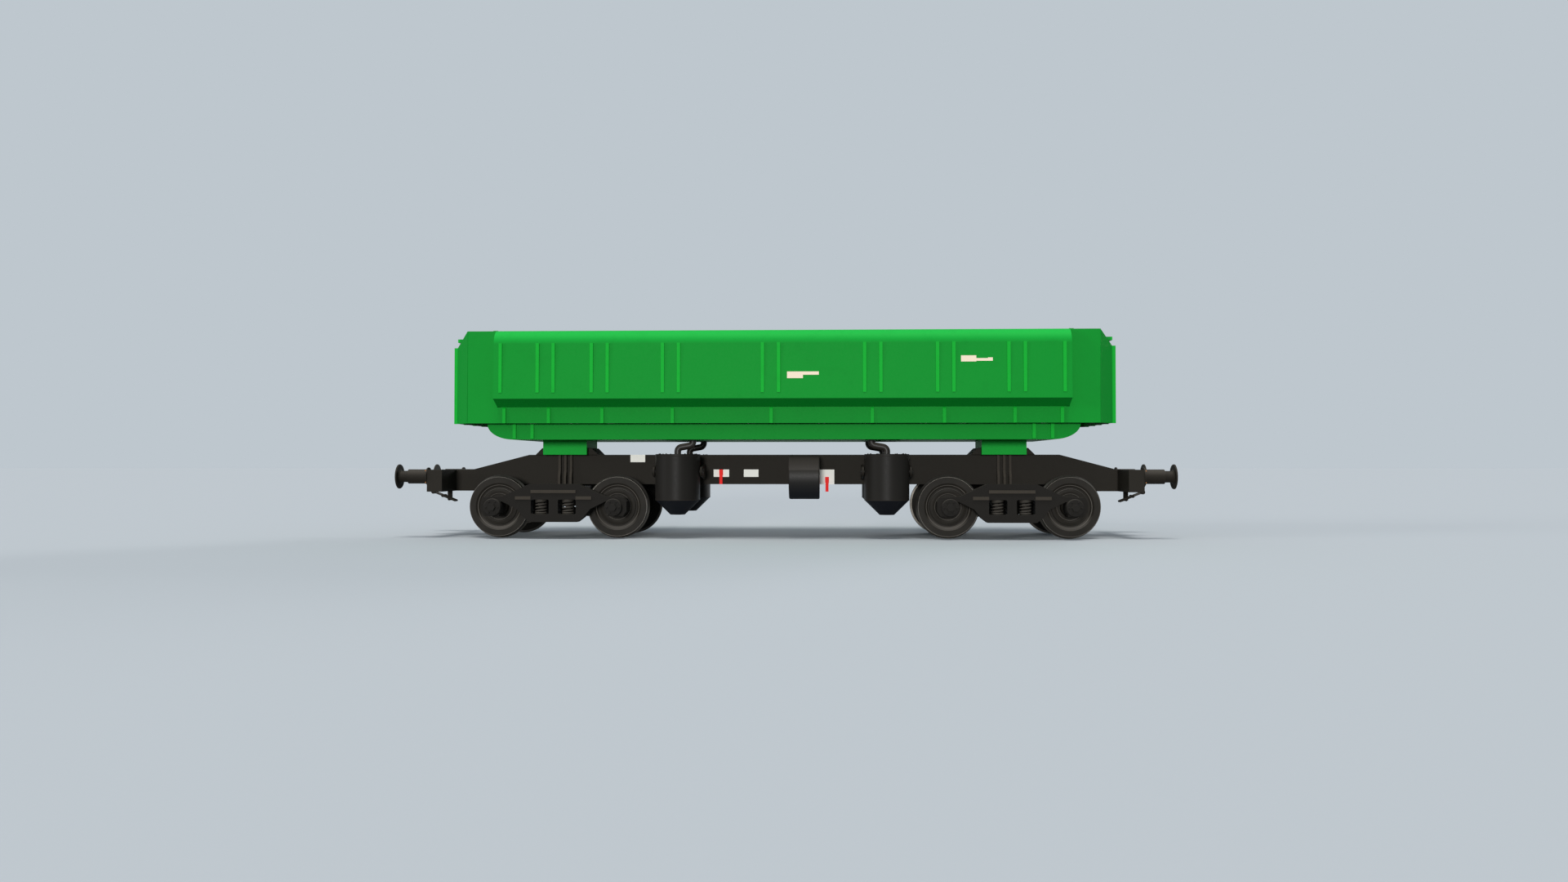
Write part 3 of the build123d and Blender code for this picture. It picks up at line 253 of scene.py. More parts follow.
class Finish(Shader):
    """One material."""

    def __init__(self, name):
        self.material = bpy.data.materials.new(name)
        super().__init__(self.material)
        self.bsdf = self.tree.nodes["Principled BSDF"]

    def set(self, **inputs):
        for key, value in inputs.items():
            self.put(self.bsdf, key.replace("_", " "), value)

    def coords(self):
        """The place on the car."""
        return self.outputs("ShaderNodeTexCoord")["Object"]

    def numbers(self, vector):
        """The three numbers of a vector."""
        parts = self.outputs("ShaderNodeSeparateXYZ", Vector=vector)
        return parts["X"], parts["Y"], parts["Z"]

    def noise(self, coords, scale, detail=3.0, roughness=0.55):
        return self.add("ShaderNodeTexNoise", Vector=coords, Scale=scale, Detail=detail,
                        Roughness=roughness)

    def settled_and_lit(self, start=0.12):
        """Where dirt settles and where light from above is painted: none on what stands or hangs,
        and all of it on what faces up.
        """
        normal = self.outputs("ShaderNodeNewGeometry")["Normal"]
        return self.numbers(normal)[2].rise(start, 1.6)

    def bump(self, height, strength, distance):
        relief = self.add("ShaderNodeBump", Height=height, Strength=strength, Distance=distance)
        self.set(Normal=relief)


# Finishes

def painted_plate(name, colour, second=None, mask=None, roughness=0.5, grime=0.12, gloss=0.045,
                  roll=False, scraped=None, dust_and_top_light=0.0):
    """Paint on rolled plate: faint cloudiness, grime in patches, orange-peel bump.

    mask gives the places that carry the second colour, and scraped those that are worn down to
    steel. roll paints a highlight on the rolled top of a door, and the last argument is how much
    settling dirt and painted light from above lie on what faces up."""
    finish = Finish(name)
    coords = finish.coords()
    place = finish.numbers(coords)
    cloud = finish.noise(coords, 1.7, 4.0)
    fine = finish.noise(coords, 38.0)
    base = linear(colour)
    paint = finish.mix(cloud.spread(0.5, 0.5), shade(base, 0.94), shade(base, 1.07))
    rough = fine.spread(0.16, roughness)
    if mask is not None:
        paint = finish.mix(mask(*place), paint, linear(second))
    # painted highlight: the rolled top of a door is lighter
    if roll:
        paint = finish.mix(place[2].rise(ROLL_FOOT, 6.0), paint, linear(ROLL_HIGHLIGHT_GREEN))
    dirt = finish.noise(coords, 4.5, 6.0, 0.7).rise(0.52, 5.0) * grime
    paint = finish.mix(dirt, paint, shade(base, 0.62))
    # dust, and painted light from above: what faces up is lighter
    if dust_and_top_light:
        paint = finish.mix(finish.settled_and_lit() * dust_and_top_light, paint, linear(DUST_AND_TOP_LIGHT))
    if scraped is not None:
        worn = scraped(*place)
        along = finish.add("ShaderNodeMapping", Vector=coords, Scale=(0.5, 5.0, 5.0))
        scratches = finish.noise(along, 3.2, 7.0, 0.68).rise(0.46, 7.0)
        paint = finish.mix(worn * (scratches * 0.62 + 0.16), paint, linear(SCRAPED_STEEL))
        paint = finish.mix(worn * cloud * 0.5, paint, linear(DUST_AND_TOP_LIGHT))
        rough = rough + worn * 0.2
    finish.set(Base_Color=paint, Roughness=rough, Specular_IOR_Level=gloss)
    peel = finish.noise(coords, 190.0, 2.0)
    finish.bump(peel + fine * 0.6, 0.12, 0.0012)
    return finish.material


def casting(name, colour):
    """Painted casting: sand texture and oily patches."""
    finish = Finish(name)
    coords = finish.coords()
    cloud = finish.noise(coords, 3.4, 5.0, 0.6)
    base = linear(colour)
    tone = finish.mix(cloud.rise(0.4, 2.4), shade(base, 0.88), shade(base, 1.12))
    # dust, and painted light from above: what faces up is lighter
    tone = finish.mix(finish.settled_and_lit() * 0.3, tone, linear(DUST_AND_TOP_LIGHT))
    finish.set(Base_Color=tone, Roughness=cloud.spread(0.2, 0.72), Specular_IOR_Level=0.1)
    finish.bump(finish.noise(coords, 70.0, 5.0, 0.65), 0.3, 0.0025)
    return finish.material


def wheel_steel():
    """Dark wheel with a bright tread, painted highlight rings on its face, and settling dirt with
    painted light from above on what faces up.
    """
    finish = Finish("wheel_steel")
    coords = finish.coords()
    x, y, z = finish.numbers(coords)
    base = linear(DARK)
    cloud = finish.noise(coords, 6.0, 5.0, 0.6)
    tone = finish.mix(cloud.rise(0.4, 2.4), shade(base, 0.86), shade(base, 1.2))
    # the distance from the nearest axle's line gives the radius
    from_axle = abs(abs(x) - BOGIE_X) - AXLE_X
    height = z - AXLE_Z
    radius = (from_axle * from_axle + height * height).root()
    side = abs(y)
    tread = (radius > WHEEL_R - 0.0035) * (side > TREAD_Y[0]) * (side < TREAD_Y[1])
    # dust, and painted light from above: what faces up is lighter
    dusty_and_lit = finish.settled_and_lit(0.2) * (radius < WHEEL_R - 0.02)
    tone = finish.mix(dusty_and_lit * 0.85, tone, linear(RING_HIGHLIGHT))
    # painted highlights on the edges of the wheel's face
    for inner, outer, strength in WHEEL_HIGHLIGHT_RINGS:
        tone = finish.mix((radius > inner) * (radius < outer) * strength, tone, linear(RING_HIGHLIGHT))
    rust = finish.noise(coords, 24.0, 4.0)
    tone = finish.mix(tread * 0.85, tone, linear(STEEL))
    rough = 0.55 - tread * 0.2 + (rust - 0.5) * 0.15
    finish.set(Base_Color=tone, Metallic=tread * 0.8, Roughness=rough, Specular_IOR_Level=0.08)
    finish.bump(rust, 0.15, 0.001)
    return finish.material


def plain_steel(name, colour, roughness=0.38):
    finish = Finish(name)
    streak = finish.noise(finish.coords(), 30.0, 4.0)
    base = linear(colour)
    tone = finish.mix(streak, shade(base, 0.85), shade(base, 1.15))
    finish.set(Base_Color=tone, Metallic=0.75, Roughness=streak.spread(0.2, roughness))
    finish.bump(streak, 0.1, 0.0006)
    return finish.material


def weld_bead(name, colour):
    """Paint over a rippled weld."""
    finish = Finish(name)
    base = linear(colour)
    ripple = finish.noise(finish.coords(), 90.0, 2.0)
    tone = finish.mix(ripple, shade(base, 0.8), shade(base, 1.1))
    finish.set(Base_Color=tone, Roughness=0.5, Specular_IOR_Level=0.06)
    finish.bump(ripple, 0.6, 0.004)
    return finish.material


def reservoir_paint():
    """Dark paint with a painted highlight on top of the reservoir and painted shade towards its
    bottom.
    """
    finish = Finish("reservoir_paint")
    coords = finish.coords()
    fine = finish.noise(coords, 38.0)
    height = (finish.numbers(coords)[2] - TANK_LOW.z) * (1 / (TANK_HIGH.z - TANK_LOW.z))
    # painted shade that deepens towards the bottom, and a painted highlight over the top
    paint = finish.mix((height * 1.7 - 0.1).clamped(), linear(UNDERSIDE_SHADE), linear(DARK))
    paint = finish.mix(height.rise(0.64, 30.0), paint, linear(TANK_TOP_HIGHLIGHT))
    finish.set(Base_Color=paint, Roughness=fine.spread(0.16, 0.45), Specular_IOR_Level=0.15)
    finish.bump(fine, 0.1, 0.001)
    return finish.material


# Masks, which give 1 where a finish changes and 0 elsewhere. The few millimetres in them keep
# their borders clear of the next face.

def beyond(axis, distance):
    """The places beyond a distance from the car's middle, along X (0) or Y (1)."""
    return lambda *place: abs(place[axis]) > distance


def beyond_plane(first, second, plane):
    """How far a place lies beyond a plane."""
    return first * plane[0] + second * plane[1] - plane[2]


def door_panel(z):
    """How far from the car's middle the outer face of a door's leaning panel is at a height."""
    return DOOR_FOOT_Y - (z - DOOR_FOOT_Z) * DOOR_LEAN


def door_ribs(x, y, z):
    """The ribs on a door stand out of its leaning panel."""
    return (abs(y) - door_panel(z) > 0.003) * (z < DOOR_RIB_TOP)


# The cone under a barrel, which carries painted shade where it faces down.
def barrel_cone(x, y, z):
    return z < BARREL_CONE_Z


def door_inside(x, y, z):
    """What the load rubs on a door: its panel and the top of its sloping foot, below the roll."""
    rubbed = (door_panel(z) - abs(y) > 0.004) * (beyond_plane(abs(y), z, FOOT_PLANE) > 0)
    return rubbed * (z < ROLL_FOOT) * (abs(x) < DOOR_INNER_X)


def wall_inside(x, y, z):
    """What the load rubs on the floor and the walls, within the bevels and the ends' slopes."""
    within = (abs(y) < BOX_HALF - 0.004) * (abs(x) < BOX_END_X - 0.006)
    beside_bevel = beyond_plane(abs(x), abs(y), BEVEL_PLANE) < 0
    below_slope = beyond_plane(abs(x), z, SLOPE_PLANE) < 0
    return within * beside_bevel * below_slope * (z > FLOOR_TOP - 0.002)


# The rib and gusset masks mark where a painted highlight goes; buffer_face marks a buffer's worn
# face.
lower_wall_ribs = beyond(1, LOWER_WALL_Y)
sub_side_ribs = beyond(1, SUB_SIDE_Y)
end_ribs = beyond(0, BOX_END_X + 0.002)
gussets = beyond(1, SILL_WEB + 0.002)
side_frame_ribs = beyond(1, SIDE_FRAME_Y)
buffer_face = beyond(0, BUFFER_RUB)

materials = {
    # On the door and the walls the second colour is a painted highlight on the ribs' front faces.
    "door": painted_plate("door_green", GREEN, RIB_HIGHLIGHT_GREEN, door_ribs,
                          roll=True, scraped=door_inside),
    "sill": painted_plate("lower_wall_green", GREEN, RIB_HIGHLIGHT_GREEN, lower_wall_ribs,
                          scraped=wall_inside),
    "side": painted_plate("subframe_green", GREEN, RIB_HIGHLIGHT_GREEN, sub_side_ribs),
    "end": painted_plate("end_wall_green", GREEN, RIB_HIGHLIGHT_GREEN, end_ribs, scraped=wall_inside),
    "floor": painted_plate("floor_green", GREEN, scraped=wall_inside),
    "green": painted_plate("plate_green", GREEN),
    # the saddles' lighter green is painted light against the box's shade
    "saddle": painted_plate("saddle_green", SADDLE_PAINTED_LIGHT_GREEN),
    "dark": painted_plate("underframe_paint", DARK, roughness=0.55, dust_and_top_light=0.3),
    # on the centre sill and the side frames the second colour is a painted highlight on gussets and
    # ribs
    "centre_sill": painted_plate("centre_sill_paint", DARK, DARK_RIB_HIGHLIGHT, gussets,
                                 roughness=0.55, dust_and_top_light=0.3),
    "frame": painted_plate("side_frame_paint", SHADE_DARK, DARK_RIB_HIGHLIGHT, side_frame_ribs,
                           roughness=0.6, dust_and_top_light=0.3),
    "buffer": painted_plate("buffer_paint", DARK, roughness=0.5, scraped=buffer_face, dust_and_top_light=0.2),
    "tank": reservoir_paint(),
    "cast": casting("bogie_casting", SHADE_DARK),
    "wheel": wheel_steel(),
    "spring": painted_plate("spring_steel", SPRING, roughness=0.5, dust_and_top_light=0.35),
    "steel": plain_steel("worn_steel", STEEL),
    # painted shade on the barrels' cones, which face down
    "cylinder": painted_plate("cylinder_paint", SHADE_DARK, UNDERSIDE_SHADE, barrel_cone,
                              roughness=0.45, gloss=0.09),
    "rod": painted_plate("rod_paint", ROD, roughness=0.4, gloss=0.25, dust_and_top_light=0.5),
    "red": painted_plate("lever_red", RED, roughness=0.4),
    "white": painted_plate("plate_white", WHITE, roughness=0.45, grime=0.05),
    "cream": painted_plate("mark_cream", CREAM, roughness=0.5, grime=0.05),
    "copper": plain_steel("bolt_copper", COPPER, 0.4),
    "green_weld": weld_bead("weld_green", GREEN),
    "dark_weld": weld_bead("weld_dark", DARK),
    "cylinder_weld": weld_bead("weld_cylinder", BARREL_WELD),
}

# The finish of each of the frame's pieces, by how its name starts
NODE_FINISHES = (
    ("door_", "door"), ("side_sill", "sill"), ("subframe_side", "side"), ("end_wall", "end"),
    ("floor", "floor"), ("saddles", "saddle"), ("subframe", "green"),
    ("centre_sill", "centre_sill"), ("side_frame", "frame"), ("bolster", "cast"),
    ("axle_bearings", "cast"), ("springs", "spring"), ("wheelset", "wheel"),
    ("hinge_shaft", "steel"), ("stage", "steel"), ("rod", "rod"), ("barrel", "cylinder"),
    ("brake_levers", "red"), ("air_reservoir", "tank"), ("buffer_heads", "buffer"), ("", "dark"),
)

for name, piece in nodes.items():
    finish = next(key for start, key in NODE_FINISHES if name.startswith(start))
    piece.data.materials.clear()
    piece.data.materials.append(materials[finish])


# Modelling steps that several pieces share

ENDS = (("a", -1), ("b", 1))
SIDES = (("near", -1), ("far", 1))


def deselect():
    bpy.ops.object.select_all(action="DESELECT")


def activate(*pieces):
    deselect()
    for piece in pieces:
        piece.select_set(True)
    bpy.context.view_layer.objects.active = pieces[0]


def joined(*pieces):
    """Several pieces as one."""
    activate(*pieces)
    if len(pieces) > 1:
        bpy.ops.object.join()
    return bpy.context.object


def apply_place():
    """Moves the active piece's place, turn and size into its mesh."""
    bpy.ops.object.transform_apply(location=True, rotation=True, scale=True)


def edit_all():
    """Opens the active piece in edit mode, all of it selected."""
    bpy.ops.object.mode_set(mode="EDIT")
    bpy.ops.mesh.select_all(action="SELECT")


def edit_faces(piece, choose):
    """Opens a piece in edit mode, with the faces selected that a test picks by their normal."""
    activate(piece)
    bpy.ops.object.mode_set(mode="EDIT")
    bpy.ops.mesh.select_mode(type="FACE")
    bpy.ops.mesh.select_all(action="DESELECT")
    mesh = bmesh.from_edit_mesh(piece.data)
    for face in mesh.faces:
        face.select_set(choose(face.normal))
    bmesh.update_edit_mesh(piece.data)


def close_edit():
    bpy.ops.object.mode_set(mode="OBJECT")


def faces_up(normal):
    return normal.z > 0.9


def block(low, high):
    """A block between two opposite corners."""
    low, high = Vector(low), Vector(high)
    deselect()
    bpy.ops.mesh.primitive_cube_add(size=1, location=(low + high) / 2, scale=high - low)
    apply_place()
    return bpy.context.object


def disc(sides, radius, low, high):
    """A disc about Z between two heights."""
    deselect()
    bpy.ops.mesh.primitive_cylinder_add(vertices=sides, radius=radius, depth=high - low,
                                        location=(0, 0, (low + high) / 2))
    apply_place()
    return bpy.context.object


def facing(point, axis):
    """The placement that turns +Z towards an axis and moves the origin to a point."""
    turn = Vector(axis).to_track_quat("Z", "Y").to_matrix().to_4x4()
    return Matrix.Translation(point) @ turn


def put_at(piece, place):
    """Carries a piece to a place."""
    piece.matrix_world = place @ piece.matrix_world
    return piece


def copies(model, places):
    """One copy of a model at each place, each with its own mesh; the model itself goes."""
    made = []
    for place in places:
        twin = model.copy()
        twin.data = model.data.copy()
        bpy.context.collection.objects.link(twin)
        twin.matrix_world = place @ model.matrix_world
        made.append(twin)
    bpy.data.objects.remove(model)
    return made


def ring_places(centre, axis, radius, count, first=0.0):
    """Places evenly round a circle, each facing along the circle's axis."""
    base = facing(centre, axis)
    out = []
    for number in range(count):
        angle = first + number * 2 * math.pi / count
        arm = Vector((radius * math.cos(angle), radius * math.sin(angle), 0))
        out.append(base @ Matrix.Translation(arm))
    return out


def quarters(point):
    """A point of the far +X quarter and its three mirror images, with the signs that mirror it."""
    return [((sx, sy), Vector((sx * point[0], sy * point[1], point[2])))
            for sx in (-1, 1) for sy in (-1, 1)]


def quarter_name(sx, sy):
    """The end and the side of a quarter, as the names of its pieces give them."""
    return f"{'b' if sx > 0 else 'a'}_{'far' if sy > 0 else 'near'}"


def complete(name, pieces, body, finish, smooth=35):
    """Joins pieces into one, with its place in its mesh, and gives it its finish and its body."""
    whole = joined(*pieces)
    apply_place()
    bpy.ops.object.shade_smooth_by_angle(angle=math.radians(smooth))
    whole.name = name
    whole.data.materials.clear()
    whole.data.materials.append(materials[finish])
    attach(whole, body)
    return whole


# Coil springs

SPRING_PLACE = Vector((0.2075, 1.04, 0))     # from a bogie's centre to each spring
SPRING_SEAT = 0.006              # thickness of the cup under and over each spring
# Wire radius, outer radius and turns of the outer spring and of the one nested in it
SPRING_SIZES = ((0.0135, 0.092, 4.0), (0.0085, 0.054, -6.0))
WIRE_SIDES = 10
TURN_STEPS = 24
LEVEL_COIL_STEPS = 28
WOUND_SMOOTH = 60                # greatest angle that is smoothed on what is wound, in degrees


def coil_spring(low, high, wire, outer, turns):
    """A wound spring about Z with a level coil at each end."""
    coil_r = outer - wire
    deselect()
    bpy.ops.mesh.primitive_circle_add(vertices=WIRE_SIDES, radius=wire, fill_type="NOTHING",
                                      location=(coil_r, 0, low + wire),
                                      rotation=(math.pi / 2, 0, 0))
    coil = bpy.context.object
    apply_place()
    winding = coil.modifiers.new("winding", "SCREW")
    winding.axis = "Z"
    winding.angle = turns * 2 * math.pi
    winding.screw_offset = high - low - 2 * wire
    winding.steps = winding.render_steps = int(abs(turns) * TURN_STEPS)
    winding.use_merge_vertices = False
    bpy.ops.object.modifier_apply(modifier="winding")
    edit_all()
    bpy.ops.mesh.fill_holes(sides=WIRE_SIDES)
    bpy.ops.mesh.normals_make_consistent(inside=False)
    close_edit()
    pieces = [coil]
    for z in (low + wire, high - wire):
        bpy.ops.mesh.primitive_torus_add(major_segments=LEVEL_COIL_STEPS, minor_segments=WIRE_SIDES,
                                         location=(0, 0, z), major_radius=coil_r, minor_radius=wire)
        pieces.append(bpy.context.object)
    return pieces


def nested_springs(low, high):
    """An outer and an inner spring, wound opposite ways between two cups."""
    pieces = []
    for wire, outer, turns in SPRING_SIZES:
        pieces += coil_spring(low + SPRING_SEAT, high - SPRING_SEAT, wire, outer, turns)
    for foot in (low, high - SPRING_SEAT):
        pieces.append(disc(LEVEL_COIL_STEPS, SPRING_SIZES[0][1], foot, foot + SPRING_SEAT))
    springs = joined(*pieces)
    apply_place()
    return springs


def wind_springs():
    for tag, end in ENDS:
        low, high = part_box("springs_" + tag)
        places = [Matrix.Translation((end * BOGIE_X + sx * SPRING_PLACE.x, sy * SPRING_PLACE.y, 0))
                  for sx in (-1, 1) for sy in (-1, 1)]
        pieces = copies(nested_springs(low.z, high.z), places)
        springs = complete("coil_springs_" + tag, pieces, "bogie_" + tag,
                           "spring", WOUND_SMOOTH)
        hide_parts("springs_" + tag)


# Screw threads of the couplings

NUT_R = 0.024
# From the nut in the links down to the nut in the bow, at the +X end
SCREW_TOP = Vector((HEADSTOCK_FACE + 0.214, 0, SILL_END_Z - 0.02))
SCREW_FOOT = Vector((HEADSTOCK_FACE + 0.05, 0, SILL_END_Z - 0.086))
SCREW_THREAD = (0.0032, 0.0215, 15.0)     # wire radius, outer radius, turns


def cut_threads():
    threads = []
    for side in (-1, 1):
        mirror = Vector((side, 1, 1))
        top, foot = SCREW_TOP * mirror, SCREW_FOOT * mirror
        turns = coil_spring(NUT_R, (foot - top).length - NUT_R, *SCREW_THREAD)
        threads.append(put_at(joined(*turns), facing(top, foot - top)))
    complete("coupling_threads", threads, "root", "steel", WOUND_SMOOTH)


# Bolts

WASHER_SIDES = 14
HEAD_SIDES = 6
CAP_SIDES = 32
# A bolt's measures as shares of its head's radius
WASHER_R = 1.18
WASHER_TOP = 0.22
HEAD_TOP = 0.84
CHAMFER = 0.14                   # how far the bevelled corners reach in
CHAMFER_RISE = 0.1
THREAD_INSET = 0.3
THREAD_RISE = 0.28

BUFFER_Y = 0.875
FLANGE_FACE = HEADSTOCK_FACE + 0.018     # face of the buffers' flanges and of the hook's plate
BUFFER_BOLT_R = 0.0115
BUFFER_BOLT_CIRCLE = 0.1255
HOOK_Z = RAIL + 0.905
HOOK_BOLT_R = 0.02
HOOK_BOLT_Y = 0.098
HOOK_BOLT_Z = 0.078              # above and below the hook
BEARING_FACE = 1.205
BEARING_BOLT_R = 0.0135
BEARING_BOLT_CIRCLE = 0.094
LID_BOLT_R = 0.01
LID_BOLT_CIRCLE = 0.288
BARREL_R = 0.344
TRUNNION_Z = RAIL + 1.0
CAP_FOOT = BARREL_R + 0.038      # from a barrel's axis to its trunnion caps
CAP_R = 0.056
CAP_THICK = 0.012
CAP_BEVEL = 0.004
CAP_BOLT_R = 0.01
CAP_BOLT_CIRCLE = 0.034


def bolt(radius):
    """A hexagon head with bevelled corners on its washer, with the end of its thread, on Z = 0."""
    washer = disc(WASHER_SIDES, radius * WASHER_R, 0, radius * WASHER_TOP)
    head = disc(HEAD_SIDES, radius, radius * WASHER_TOP, radius * HEAD_TOP)
    edit_faces(head, faces_up)
    bpy.ops.mesh.inset(thickness=radius * CHAMFER)
    bpy.ops.transform.translate(value=(0, 0, radius * CHAMFER_RISE))
    bpy.ops.mesh.inset(thickness=radius * THREAD_INSET)
    bpy.ops.mesh.extrude_region_move(TRANSFORM_OT_translate={"value": (0, 0, radius * THREAD_RISE)})
    close_edit()
    return joined(head, washer)


def trunnion_cap(place):
    """The bolted disc that keeps a trunnion in its bracket."""
    cap = disc(CAP_SIDES, CAP_R, 0, CAP_THICK)
    edit_faces(cap, faces_up)
    bpy.ops.mesh.bevel(offset=CAP_BEVEL, segments=2)
    close_edit()
    places = ring_places((0, 0, CAP_THICK), (0, 0, 1), CAP_BOLT_CIRCLE, 3)
    return put_at(joined(cap, *copies(bolt(CAP_BOLT_R), places)), place)


def fit_bolts():
    places = []
    for (sx, sy), centre in quarters((FLANGE_FACE, BUFFER_Y, BUFFER_Z)):
        places += ring_places(centre, (sx, 0, 0), BUFFER_BOLT_CIRCLE, 4, math.pi / 4)
    complete("buffer_bolts", copies(bolt(BUFFER_BOLT_R), places), "root", "copper")

    places = [facing((end * FLANGE_FACE, y, z), (end, 0, 0)) for end in (-1, 1)
              for y in (-HOOK_BOLT_Y, HOOK_BOLT_Y)
              for z in (HOOK_Z - HOOK_BOLT_Z, HOOK_Z + HOOK_BOLT_Z)]
    bolts = copies(bolt(HOOK_BOLT_R), places)
    complete("hook_plate_bolts", bolts, "root", "dark")

    for tag, end in ENDS:
        places = []
        for out in (-1, 1):
            for side in (-1, 1):
                centre = (end * BOGIE_X + out * AXLE_X, side * BEARING_FACE, AXLE_Z)
                places += ring_places(centre, (0, side, 0), BEARING_BOLT_CIRCLE, 6)
        complete("bearing_bolts_" + tag, copies(bolt(BEARING_BOLT_R), places), "bogie_" + tag,
                 "cast")

    for signs, centre in quarters(CYLINDER):
        name = quarter_name(*signs)
        bolts = copies(bolt(LID_BOLT_R), ring_places(centre, (0, 0, 1), LID_BOLT_CIRCLE, 12))
        complete("lid_bolts_" + name, bolts, "barrel_" + name, "cylinder")
        caps = [trunnion_cap(facing((centre.x + end * CAP_FOOT, centre.y, TRUNNION_Z), (end, 0, 0)))
                for end in (-1, 1)]
        complete("trunnion_caps_" + name, caps, "barrel_" + name, "cylinder")


# Plates and marks

PLATE_THICK = 0.003
PLATE_RIM = 0.006
SUNK = 0.35                      # how deep a face lies within its rim, as a share of the thickness
RIVET_R = 0.004
RIVET_FLAT = 0.6                 # a rivet's height as a share of its radius
RIVET_MARGIN = 0.014             # from a plate's edges to its rivets
MARK_THICK = 0.002
MARK_RIM = 0.002
# Left and right edge, bottom and top of each blank plate on the near web
WEB_PLATES = (
    (-2.434, -2.199, RAIL + 1.147, RAIL + 1.264),
    (-1.105, -0.859, RAIL + 0.913, RAIL + 1.030),
    (-0.626, -0.393, RAIL + 0.913, RAIL + 1.030),
    (0.563, 0.807, RAIL + 0.797, RAIL + 1.029),
)
# The same of each blank patch on the near door
DOOR_PATCHES = (
    (0.106, 0.342, RAIL + 2.391, RAIL + 2.490),
    (0.342, 0.578, RAIL + 2.441, RAIL + 2.490),
    (2.676, 2.900, RAIL + 2.630, RAIL + 2.721),
    (2.900, 3.072, RAIL + 2.640, RAIL + 2.680),
    (3.072, 3.142, RAIL + 2.640, RAIL + 2.690),
)
# Foot and head of the near door's panel
DOOR_FOOT = Vector((0, -DOOR_FOOT_Y, DOOR_FOOT_Z))
DOOR_HEAD = Vector((0, -1.460, ROLL_FOOT))


def plate(x0, x1, z0, z1, y, thick, rim):
    """A thin plate facing the near side, with a raised rim round its face."""
    piece = block((x0, y - thick, z0), (x1, y, z1))
    edit_faces(piece, lambda normal: normal.y < -0.9)
    bpy.ops.mesh.inset(thickness=rim)
    bpy.ops.mesh.extrude_region_move(TRANSFORM_OT_translate={"value": (0, thick * SUNK, 0)})
    close_edit()
    return piece


def rivet(radius):
    """A round rivet head standing on Z = 0."""
    deselect()
    bpy.ops.mesh.primitive_uv_sphere_add(segments=10, ring_count=6, radius=radius)
    head = bpy.context.object
    edit_all()
    bpy.ops.mesh.bisect(plane_co=(0, 0, 0), plane_no=(0, 0, 1), clear_inner=True, use_fill=True)
    bpy.ops.transform.resize(value=(1, 1, RIVET_FLAT))
    close_edit()
    return head


def fix_plates():
    plates = [plate(*edges, -SILL_WEB, PLATE_THICK, PLATE_RIM) for edges in WEB_PLATES]
    sunk_y = -SILL_WEB - PLATE_THICK * (1 - SUNK)
    places = [facing((x, sunk_y, z), (0, -1, 0)) for x0, x1, z0, z1 in WEB_PLATES
              for x in (x0 + RIVET_MARGIN, x1 - RIVET_MARGIN)
              for z in (z0 + RIVET_MARGIN, z1 - RIVET_MARGIN)]
    plates += copies(rivet(RIVET_R), places)
    complete("web_plates", plates, "root", "white")

    panel = DOOR_HEAD - DOOR_FOOT
    lean = Matrix.Rotation(math.atan2(-panel.y, panel.z), 4, "X")
    patches = []
    for x0, x1, z0, z1 in DOOR_PATCHES:
        height = (z0 + z1) / 2
        y = DOOR_FOOT.y + panel.y * (height - DOOR_FOOT.z) / panel.z
        patch = plate(x0, x1, z0, z1, y, MARK_THICK, MARK_RIM)
        middle = Matrix.Translation((0, y, height))
        patches.append(put_at(patch, middle @ lean @ middle.inverted()))
    complete("door_marks", patches, "door_near", "cream")


# Weld beads

BEAD_R = 0.0045
BEAD_SIDES = 8
BEAD_TIP = 0.6                   # how much of its radius a bead's end is drawn in by
SEAM_STEPS = 72
SEAM_SUNK = 0.0005               # how far a barrel's seam lies inside its surface
BEAD_SHORT = 0.012               # how far a bead stops short of the corners of the box
# Foot and head of the welds of a door's ribs: distance from the car's middle, and height
DOOR_WELD_FOOT = (1.4845, RAIL + 2.19)
DOOR_WELD_HEAD = (1.4615, RAIL + 2.92)
RIB_FOOT_Z = BOX_FOOT + 0.008    # bottom of the welds of the lower walls' ribs
RIB_HEAD_Z = BOX_FOOT + 0.214
SUB_FACE_Y = 1.08                # outer face of the subframe's sides
# From a bogie's centre to the inner and outer ends of the welds above it
SADDLE_RUN = (0.355, 0.326)
PEDESTAL_RUN = (0.5, 0.47)
HEADSTOCK_WELD = (RAIL + 0.7, RAIL + 1.0)
TANK_SEAM = 0.045                # from the ends of the reservoir to its seams
LID_SEAM = 0.03                  # from the top of a barrel down to its upper seam


def bead(start, end):
    """A weld bead between two points, drawn thin at both ends."""
    deselect()
    along = Vector(end) - Vector(start)
    bpy.ops.mesh.primitive_cylinder_add(vertices=BEAD_SIDES, radius=BEAD_R, depth=along.length)
    piece = bpy.context.object
    edit_faces(piece, lambda normal: abs(normal.z) > 0.9)
    bpy.ops.mesh.bevel(offset=BEAD_R * BEAD_TIP, segments=2)
    close_edit()
    return put_at(piece, facing((Vector(start) + Vector(end)) / 2, along))


def upright(x, y, low, high):
    """An upright bead between two heights."""
    return bead((x, y, low), (x, y, high))


def run(corner, sx, inner, outer):
    """A bead along the car through a point, towards the middle and towards the end."""
    return bead(corner - Vector((sx * inner, 0, 0)), corner + Vector((sx * outer, 0, 0)))


def seam(centre, axis, radius):
    """A weld bead round a turned piece."""
    deselect()
    bpy.ops.mesh.primitive_torus_add(major_segments=SEAM_STEPS, minor_segments=BEAD_SIDES,
                                     major_radius=radius, minor_radius=BEAD_R)
    return put_at(bpy.context.object, facing(centre, axis))


def rib_edges(node, reach, along=0, out=1):
    """Both edges of each rib of a node, by the corners that stand out beyond a distance."""
    corners = [vertex.co for vertex in nodes[node].data.vertices]
    return sorted({round(corner[along], 3) for corner in corners if abs(corner[out]) > reach})


